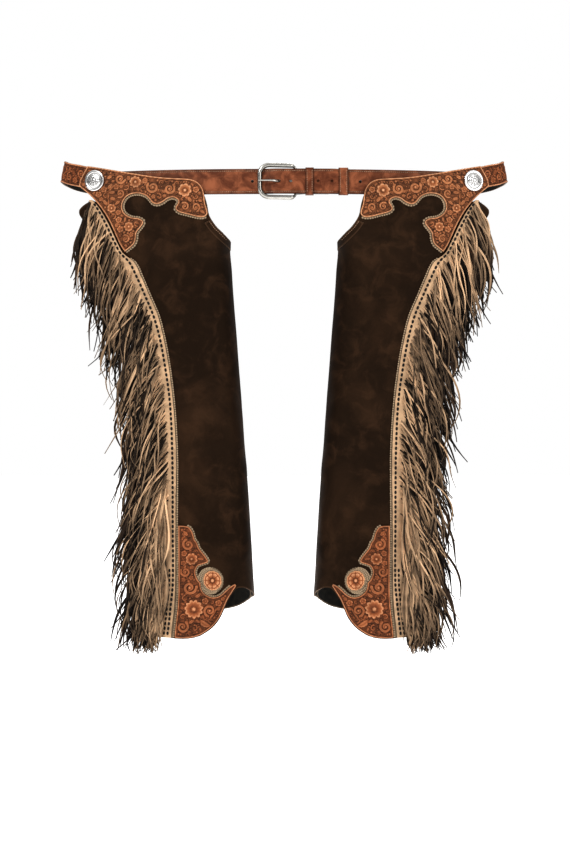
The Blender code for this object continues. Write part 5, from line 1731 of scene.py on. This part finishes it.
# %% Belt, tongue side
HOLES_IN_TONGUE = (-0.0610, 0.0130, 0.0652, 0.0918)
PRONG_HOLE = -0.0125
PRONG_HOLE_REACH = 0.003
HOLE_RADIUS, PRONG_HOLE_RADIUS = 0.0029, 0.0028

steps = np.linspace(-BELT_END, TIP_END, 260)
rise_up = smooth_step(-0.046, -0.012, steps)
tongue_path = list(zip(steps, BELT_REST_OUT + (TIP_OUT - BELT_REST_OUT) * rise_up))
tongue_length, tongue_place, tongue_reach = strap_on_path(tongue_path)
TIP_SHAPE = (
    (-0.030, 1.0), (-0.022, 0.985), (-0.015, 0.92), (-0.009, 0.78), (-0.004, 0.56),
    (-0.001, 0.30), (0.0, 0.0),
)
upper_tip = [(tongue_length + shift, BELT_HALF_WIDTH * share) for shift, share in TIP_SHAPE]
lower_tip = [(along, -up) for along, up in upper_tip[:-1]]
tongue_outline = [(0.0, -BELT_HALF_WIDTH)] + smooth_outline(
    lower_tip + [upper_tip[-1]] + upper_tip[:-1][::-1], 3, closed=False) + [(0.0, BELT_HALF_WIDTH)]
tongue_flat = cut_sheet(tongue_outline, 0.0030, 0.0012)
for hole in HOLES_IN_TONGUE:
    punch(tongue_flat, (tongue_reach(hole), 0.0), (tongue_reach(hole), 0.0), HOLE_RADIUS)
punch(
    tongue_flat, (tongue_reach(PRONG_HOLE - PRONG_HOLE_REACH), 0.0),
    (tongue_reach(PRONG_HOLE + PRONG_HOLE_REACH), 0.0), PRONG_HOLE_RADIUS)
tongue = single("waist_belt_tongue", lay_sheet(
    tongue_flat, tongue_place, -BELT_LEATHER / 2, BELT_LEATHER / 2, edged(tongue_outline)),
    (BELT, FLESH, EDGE_DYE_AND_SHADE), "belt_tongue")

# %% Belt, buckle side
SPARE_HOLE = 0.1468
SLOT_REACH, SLOT_RADIUS = 0.0085, 0.0026
wrap = BAR_RADIUS + SEAM_GAP + BELT_LEATHER / 2
spots = [(across, BELT_REST_OUT) for across in np.linspace(BELT_END, 0.030, 120)]
for angle in range(90, 271, 12):
    turn = math.radians(angle)
    spots.append((HEEL_BAR + wrap * math.cos(turn), BAR_OUT + wrap * math.sin(turn)))
spots += [
    (0.0280, BAR_OUT - wrap + 0.0006), (0.0395, FOLD_OUT), (0.0600, FOLD_OUT), (0.0860, FOLD_OUT)]
fold_length, fold_path_place = strap_on_path(spots)[:2]
fold_half = BELT_HALF_WIDTH - SEAM_GAP


def fold_place(along, up, outs):
    return fold_path_place(along, up, -outs)


fold_outline = [
    (0.0, -fold_half), (fold_length, -fold_half), (fold_length, fold_half), (0.0, fold_half)]
fold_flat = cut_sheet(fold_outline, 0.0016, 0.0012)
hole_spot = (BELT_END - SPARE_HOLE, 0.0)
punch(fold_flat, hole_spot, hole_spot, HOLE_RADIUS)
slot_middle = BELT_END - HEEL_BAR + wrap * math.pi / 2
punch(fold_flat, (slot_middle - SLOT_REACH, 0.0), (slot_middle + SLOT_REACH, 0.0), SLOT_RADIUS)
buckle_side = single("waist_belt_buckle", lay_sheet(
    fold_flat, fold_place, -BELT_LEATHER / 2, BELT_LEATHER / 2, edged(fold_outline)),
    (BELT, FLESH, EDGE_DYE_AND_SHADE), "belt_buckle_side")

# %% [markdown]
# The buckle is a loop of thick wire with rounded corners, and the prong is a bent
# pin. Both are curves with a round section, turned into meshes.

# %% Buckle and prong
BUCKLE_HALF_HEIGHT = 0.0308
PRONG_RADIUS = 0.0014
WIRE_RADIUS = 0.0044
# Share of the way along the prong, and how many times its thickness there
PRONG_SWELL = ((0, 1.0), (0.42, 1.0), (0.58, 1.9), (0.85, 1.8), (1, 1.0))
buckle_lift = BELT_REST_OUT + BELT_LEATHER / 2 + SEAM_GAP + BAR_RADIUS


def wear_and_painted_shade(form, points, closed):
    """How bright each point of a wire is: painted light in front, painted shade behind, inside the
    loop, and along the pin's top and bottom.
    """
    path = np.array(list(points) + [points[0]] if closed else points)
    walked = walked_along(path)
    along = np.linspace(0, walked[-1], 400)
    path = np.stack([np.interp(along, walked, path[:, axis]) for axis in range(3)], axis=1)
    spots = np.array([vert.co[:] for vert in form.verts])
    near = path[np.argmin(((spots[:, None] - path[None]) ** 2).sum(axis=2), axis=1)]
    offset = spots - near
    offset /= np.maximum(np.linalg.norm(offset, axis=1), 1e-9)[:, None]
    front = smooth_step(-0.45, 0.45, -offset[:, 1])
    if not closed:
        return front * (1 - 0.8 * smooth_step(0.55, 0.95, np.abs(offset[:, 2])))
    inward = path.mean(axis=0) - near
    inward /= np.linalg.norm(inward, axis=1)[:, None]
    return front * (1 - 0.95 * smooth_step(0.15, 0.70, np.sum(offset * inward, axis=1)))


def wire(name, points, radius, node, closed, thickness=None):
    curve = bpy.data.curves.new(name, "CURVE")
    curve.dimensions = "3D"
    curve.bevel_depth = radius
    curve.bevel_resolution = 5
    curve.use_fill_caps = not closed
    spline = curve.splines.new("POLY")
    spline.points.add(len(points) - 1)
    for index, (point, place) in enumerate(zip(spline.points, points)):
        point.co = (*place, 1.0)
        point.radius = 1.0 if thickness is None else thickness[index]
    spline.use_cyclic_u = closed
    draft = bpy.data.objects.new(name + "_draft", curve)
    bpy.context.scene.collection.objects.link(draft)
    graph = bpy.context.evaluated_depsgraph_get()
    mesh = bpy.data.meshes.new_from_object(draft.evaluated_get(graph))
    bpy.data.objects.remove(draft)
    bpy.data.curves.remove(curve)
    form = bmesh.new()
    form.from_mesh(mesh)
    bpy.data.meshes.remove(mesh)
    layer = form.verts.layers.float.new("carve_and_painted_light")
    # Painted light on the wire: lighter in front, painted shade inside the loop, behind, and above
    # and below the pin
    for vert, value in zip(form.verts, wear_and_painted_shade(form, points, closed)):
        vert[layer] = value
    return single(name, form, (NICKEL,), node)


# Columns: bar, above or below, first turn, bend of the corner
CORNERS = (
    (HEEL_BAR, 1, 0, 0.0120), (FRONT_BAR, 1, 90, 0.0190),
    (FRONT_BAR, -1, 180, 0.0190), (HEEL_BAR, -1, 270, 0.0120),
)
loop = []
for bar, above, begin, bend in CORNERS:
    centre_x = bar - math.copysign(bend, bar)
    centre_z = above * (BUCKLE_HALF_HEIGHT - bend)
    for step in range(0, 91, 9):
        turn = math.radians(begin + step)
        loop.append((centre_x + bend * math.cos(turn), centre_z + bend * math.sin(turn)))
loop = np.array(loop)
tilt = (loop[:, 0] - HEEL_BAR) / (FRONT_BAR - HEEL_BAR)
stout = smooth_step(0.02, 0.16, tilt)
wire_out = BAR_OUT + (buckle_lift - BAR_OUT) * tilt + (WIRE_RADIUS - BAR_RADIUS) * stout
buckle = wire(
    "buckle_wire", front_of_waist(loop[:, 0], wire_out, loop[:, 1]), BAR_RADIUS,
    "buckle_frame", True, thickness=1 + (WIRE_RADIUS / BAR_RADIUS - 1) * stout)

grip = BAR_RADIUS + SEAM_GAP + PRONG_RADIUS
pin = []
for angle in range(-60, 91, 15):
    turn = math.radians(angle)
    pin.append((HEEL_BAR + grip * math.cos(turn), BAR_OUT + grip * math.sin(turn)))
pin_rest = buckle_lift + (WIRE_RADIUS - BAR_RADIUS) * 2 + grip
pin += [(0.0120, BAR_OUT + grip - 0.0004), (-0.0068, BAR_OUT + grip - 0.0002),
        (-0.0175, TIP_OUT + 0.0052), (-0.0300, pin_rest - 0.0002),
        (FRONT_BAR - BAR_RADIUS, pin_rest)]
fine_pin = np.array(smooth_outline(pin, 4, closed=False))
pin_wire = wire(
    "buckle_pin", front_of_waist(fine_pin[:, 0], fine_pin[:, 1], np.zeros(len(fine_pin))),
    PRONG_RADIUS, "buckle_prong", False,
    thickness=np.interp(np.linspace(0, 1, len(fine_pin)), *zip(*PRONG_SWELL)))

# %% [markdown]
# A keeper is a narrow leather loop round both layers of the belt.

# %% Keepers
KEEPER_LEATHER = 0.0018
KEEPER_CORNER = 0.0016
KEEPER_STEPS = 6


def keeper(name, span, back_out, node):
    front = TIP_OUT + BELT_LEATHER / 2 + SEAM_GAP
    back = back_out - BELT_LEATHER / 2 - SEAM_GAP
    half = BELT_HALF_WIDTH + SEAM_GAP
    ring = []
    middle_out = (front + back) / 2
    for out, height, begin in (
            (front, half, 0), (back, half, 90), (back, -half, 180), (front, -half, 270)):
        bend_out = out - math.copysign(KEEPER_CORNER, out - middle_out)
        bend_height = height - math.copysign(KEEPER_CORNER, height)
        for step in range(0, 91, 30):
            turn = math.radians(begin + step)
            ring.append((
                bend_out + KEEPER_CORNER * math.cos(turn),
                bend_height + KEEPER_CORNER * math.sin(turn)))
    form = bmesh.new()
    verts = [form.verts.new((span[0], out, height)) for out, height in ring]
    edges = [form.edges.new((verts[index - 1], verts[index])) for index in range(len(verts))]
    width = span[1] - span[0]
    for step in range(KEEPER_STEPS):
        grown = bmesh.ops.extrude_edge_only(form, edges=edges)["geom"]
        moved = [item for item in grown if isinstance(item, bmesh.types.BMVert)]
        bmesh.ops.translate(form, vec=(width / KEEPER_STEPS, 0, 0), verts=moved)
        edges = [item for item in grown if isinstance(item, bmesh.types.BMEdge)]
    bmesh.ops.recalc_face_normals(form, faces=form.faces)
    for face in form.faces:
        face.normal_update()
    centre = Vector(((span[0] + span[1]) / 2, middle_out, 0.0))
    outwards = sum(
        face.normal.dot(face.calc_center_median() - centre) for face in form.faces)
    if outwards < 0:
        bmesh.ops.reverse_faces(form, faces=form.faces)
    bmesh.ops.solidify(form, geom=form.faces[:], thickness=-KEEPER_LEATHER)
    layer = form.verts.layers.float.new("carve_and_painted_light")
    flat = np.array([vert.co[:] for vert in form.verts])
    points = front_of_waist(flat[:, 0], flat[:, 1], flat[:, 2])
    rim = np.minimum(flat[:, 0] - span[0], span[1] - flat[:, 0])
    for vert, point, value in zip(form.verts, points, rim):
        vert.co = point
        # Painted shade: a keeper's two rims get a low value, so the belt material paints them dark
        vert[layer] = 0.05 if value < width * 0.05 else 0.95
    return single(name, form, (BELT,), node)


KEEPER_NEAR, KEEPER_TIP = (0.0412, 0.0567), (0.1050, 0.1230)
keeper_near = keeper("belt_loop_near", KEEPER_NEAR, FOLD_OUT, "keeper_near")
keeper_tip = keeper("belt_loop_tip", KEEPER_TIP, BELT_REST_OUT, "keeper_tip")

# %% [markdown]
# A concho is a stamped metal disc. Its side view is spun round once, and petals are
# pressed into the middle. The plain rim stays bright.

# %% Conchos
CONCHO_RADIUS = 0.0205
CONCHO_LIFT = 0.0009
CONCHO_STEPS = 96
CONCHO_PROFILE = (
    (0.0, 0.0), (0.50, 0.0), (0.94, 0.0), (0.985, 0.02), (1.0, 0.06), (0.985, 0.105),
    (0.95, 0.135),
    (0.90, 0.150), (0.84, 0.150), (0.78, 0.140), (0.72, 0.120), (0.66, 0.130), (0.62, 0.165),
    (0.58, 0.190), (0.53, 0.205), (0.48, 0.220), (0.43, 0.232), (0.38, 0.243), (0.33, 0.252),
    (0.28, 0.260), (0.23, 0.268), (0.18, 0.275), (0.12, 0.282), (0.06, 0.286), (0.0, 0.288),
)
concho_form = bmesh.new()
profile = [
    concho_form.verts.new((reach * CONCHO_RADIUS, 0, up * CONCHO_RADIUS))
    for reach, up in CONCHO_PROFILE]
profile_edges = [concho_form.edges.new(pair) for pair in zip(profile, profile[1:])]
bmesh.ops.spin(
    concho_form, geom=profile + profile_edges, cent=(0, 0, 0), axis=(0, 0, 1), angle=math.tau,
    steps=CONCHO_STEPS, use_merge=True)
bmesh.ops.remove_doubles(concho_form, verts=concho_form.verts, dist=1e-6)
carve_layer = concho_form.verts.layers.float.new("carve_and_painted_light")
for vert in concho_form.verts:
    reach = math.hypot(vert.co.x, vert.co.y) / CONCHO_RADIUS
    angle = math.atan2(vert.co.y, vert.co.x)
    cut = 0.0
    if reach < 0.60 and vert.co.z > 0.1 * CONCHO_RADIUS:
        petal = abs(math.cos(angle * 4))
        cut = math.exp(-(petal * reach / 0.085) ** 2) * (0.14 < reach < 0.56)
        cut = max(cut, math.exp(-((reach - 0.17) / 0.030) ** 2))
        cut = max(cut, 0.7 * math.exp(-((reach - 0.36 - 0.10 * petal) / 0.028) ** 2))
    if vert.co.z > 0.05 * CONCHO_RADIUS:
        cut = max(cut, math.exp(-((reach - 0.70) / 0.030) ** 2))
    vert.co.z -= cut * 0.0006
    vert[carve_layer] = 1.0 - cut
concho_middle, concho_below = on_front(
    np.full(2, CONCHO_PLACE[0]), np.full(2, CONCHO_PLACE[1]),
    np.array([UPPER_HIGH + CONCHO_LIFT, 0.0]))
concho_outward = Vector(concho_middle - concho_below)
concho_turn = Vector((0, 0, 1)).rotation_difference(concho_outward).to_matrix().to_4x4()
concho_form.transform(Matrix.Translation(Vector(concho_middle)) @ concho_turn)
conchos = both_sides("silver_concho", concho_form, (SILVER,))
declare(conchos, ("concho",))

# %% [markdown]
# Lacing and stitches are small rounded dashes. One dash is made and copied along
# each line, lying on the leather and pointing along the line.

# %% Dashes along a line
dash_template = bmesh.new()
bmesh.ops.create_cube(dash_template, size=2.0)
bmesh.ops.bevel(
    dash_template, geom=dash_template.edges[:], offset=0.55, segments=1, profile=0.5,
    affect="EDGES", material=-1)
dash_local = np.array([vert.co[:] for vert in dash_template.verts])


def dashes(name, centres, along, outward, half_sizes, material):
    """Mesh of dashes at these places; half sizes are along, across and out."""
    along = along / np.linalg.norm(along, axis=1)[:, None]
    outward = outward - along * np.sum(outward * along, axis=1)[:, None]
    outward /= np.linalg.norm(outward, axis=1)[:, None]
    side = np.cross(outward, along)
    local = dash_local * np.array(half_sizes)
    points = (centres[:, None, :] + local[None, :, :1] * along[:, None, :]
              + local[None, :, 1:2] * side[:, None, :] + local[None, :, 2:] * outward[:, None, :])
    return place_copies(name, dash_template, points, material)


def dashes_on_front(name, line, pitch, out, half_sizes, material, place=on_front):
    spots = walk(line, pitch)[0]
    ahead = spots + np.gradient(spots, axis=0) * 0.2
    level = np.full(len(spots), out)
    centres = place(spots[:, 0], spots[:, 1], level)
    along = place(ahead[:, 0], ahead[:, 1], level) - centres
    outward = place(spots[:, 0], spots[:, 1], level + 0.001) - centres
    return dashes(name, centres, along, outward, half_sizes, material)


def dash_pieces(name, meshes, materials):
    form = join_meshes(name, meshes, materials)
    pieces = both_sides(name, form, materials)
    declare(pieces, ())
    return pieces


# %% Lacing and stitches
# Half sizes of a thread's dash: along, across and out
STITCH = (0.0015, 0.00060, 0.00045)
STITCH_PITCH, STITCH_INSET = 0.0040, 0.0042
LACE_PITCH, LACE_OUT = 0.0095, 0.0051

lace_heights = np.linspace(-0.036, -0.880, 300)
lace_rows = read_rows(BAND_ROWS, lace_heights)
lace_line = list(zip(lace_rows[1], lace_heights))
second = lace_heights < -0.745
second_line = list(zip(lace_rows[1][second] + 0.0068, lace_heights[second]))
band_lacing = dash_pieces("band_lacing", [
    dashes_on_front(
        "laces", lace_line, LACE_PITCH, LACE_OUT, (0.0034, 0.0022, 0.0008), LACING),
    dashes_on_front(
        "laces", second_line, LACE_PITCH, LACE_OUT, (0.0032, 0.0020, 0.0008), LACING),
], [LACING])

facing_line = [
    (across + 0.0032, up - 0.0028)
    for across, up in smooth_outline(CROTCH_STRIP_EDGE, 4, closed=False)]
seam_heights = np.linspace(-0.125, -0.805, 200)
inner_line = [((INNER_SEAM_TURN + 3.2) / 180 * math.pi * ARC, height) for height in seam_heights]
seam_stitches = dash_pieces("seam_stitches", [
    dashes_on_front("stitches", facing_line, 0.0036, UNDER_HIGH + 0.0001, STITCH, THREAD),
    dashes_on_front("stitches", inner_line, STITCH_PITCH, 0.0002, STITCH, DARK_THREAD, on_leg_arc),
], [THREAD, DARK_THREAD])

belt_stitches = []


def stitch_row(line, out, place):
    belt_stitches.append(
        dashes_on_front("stitches", line, STITCH_PITCH, out, STITCH, THREAD, place))


def on_keeper(across, up, outs):
    return front_of_waist(across, outs, up)


for line_up in (-1, 1):
    level = line_up * (BELT_HALF_WIDTH - STITCH_INSET)
    for start, end, height, leather, place in (
            (0.004, tongue_length - 0.030, level, BELT_LEATHER, tongue_place),
            (0.004, fold_length - 0.085, level * 0.99, BELT_LEATHER, fold_place),
            (0.004, back_length - 0.004, line_up * 0.0188, STRAP_LEATHER, back_place)):
        stitch_row([(along, height) for along in np.linspace(start, end, 200)], leather / 2, place)
keeper_out = TIP_OUT + BELT_LEATHER / 2 + SEAM_GAP + KEEPER_LEATHER
for start, end in (KEEPER_NEAR, KEEPER_TIP):
    for column in (start + 0.0030, end - 0.0030):
        upright = [(column, up) for up in np.linspace(-0.0215, 0.0215, 60)]
        stitch_row(upright, keeper_out, on_keeper)
belt_thread = join_meshes("belt_stitches", belt_stitches, [THREAD])
close_form(belt_thread)
belt_stitching = piece_from("belt_stitches", belt_thread, (THREAD,))
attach(belt_stitching, "root")
print("dashes placed")
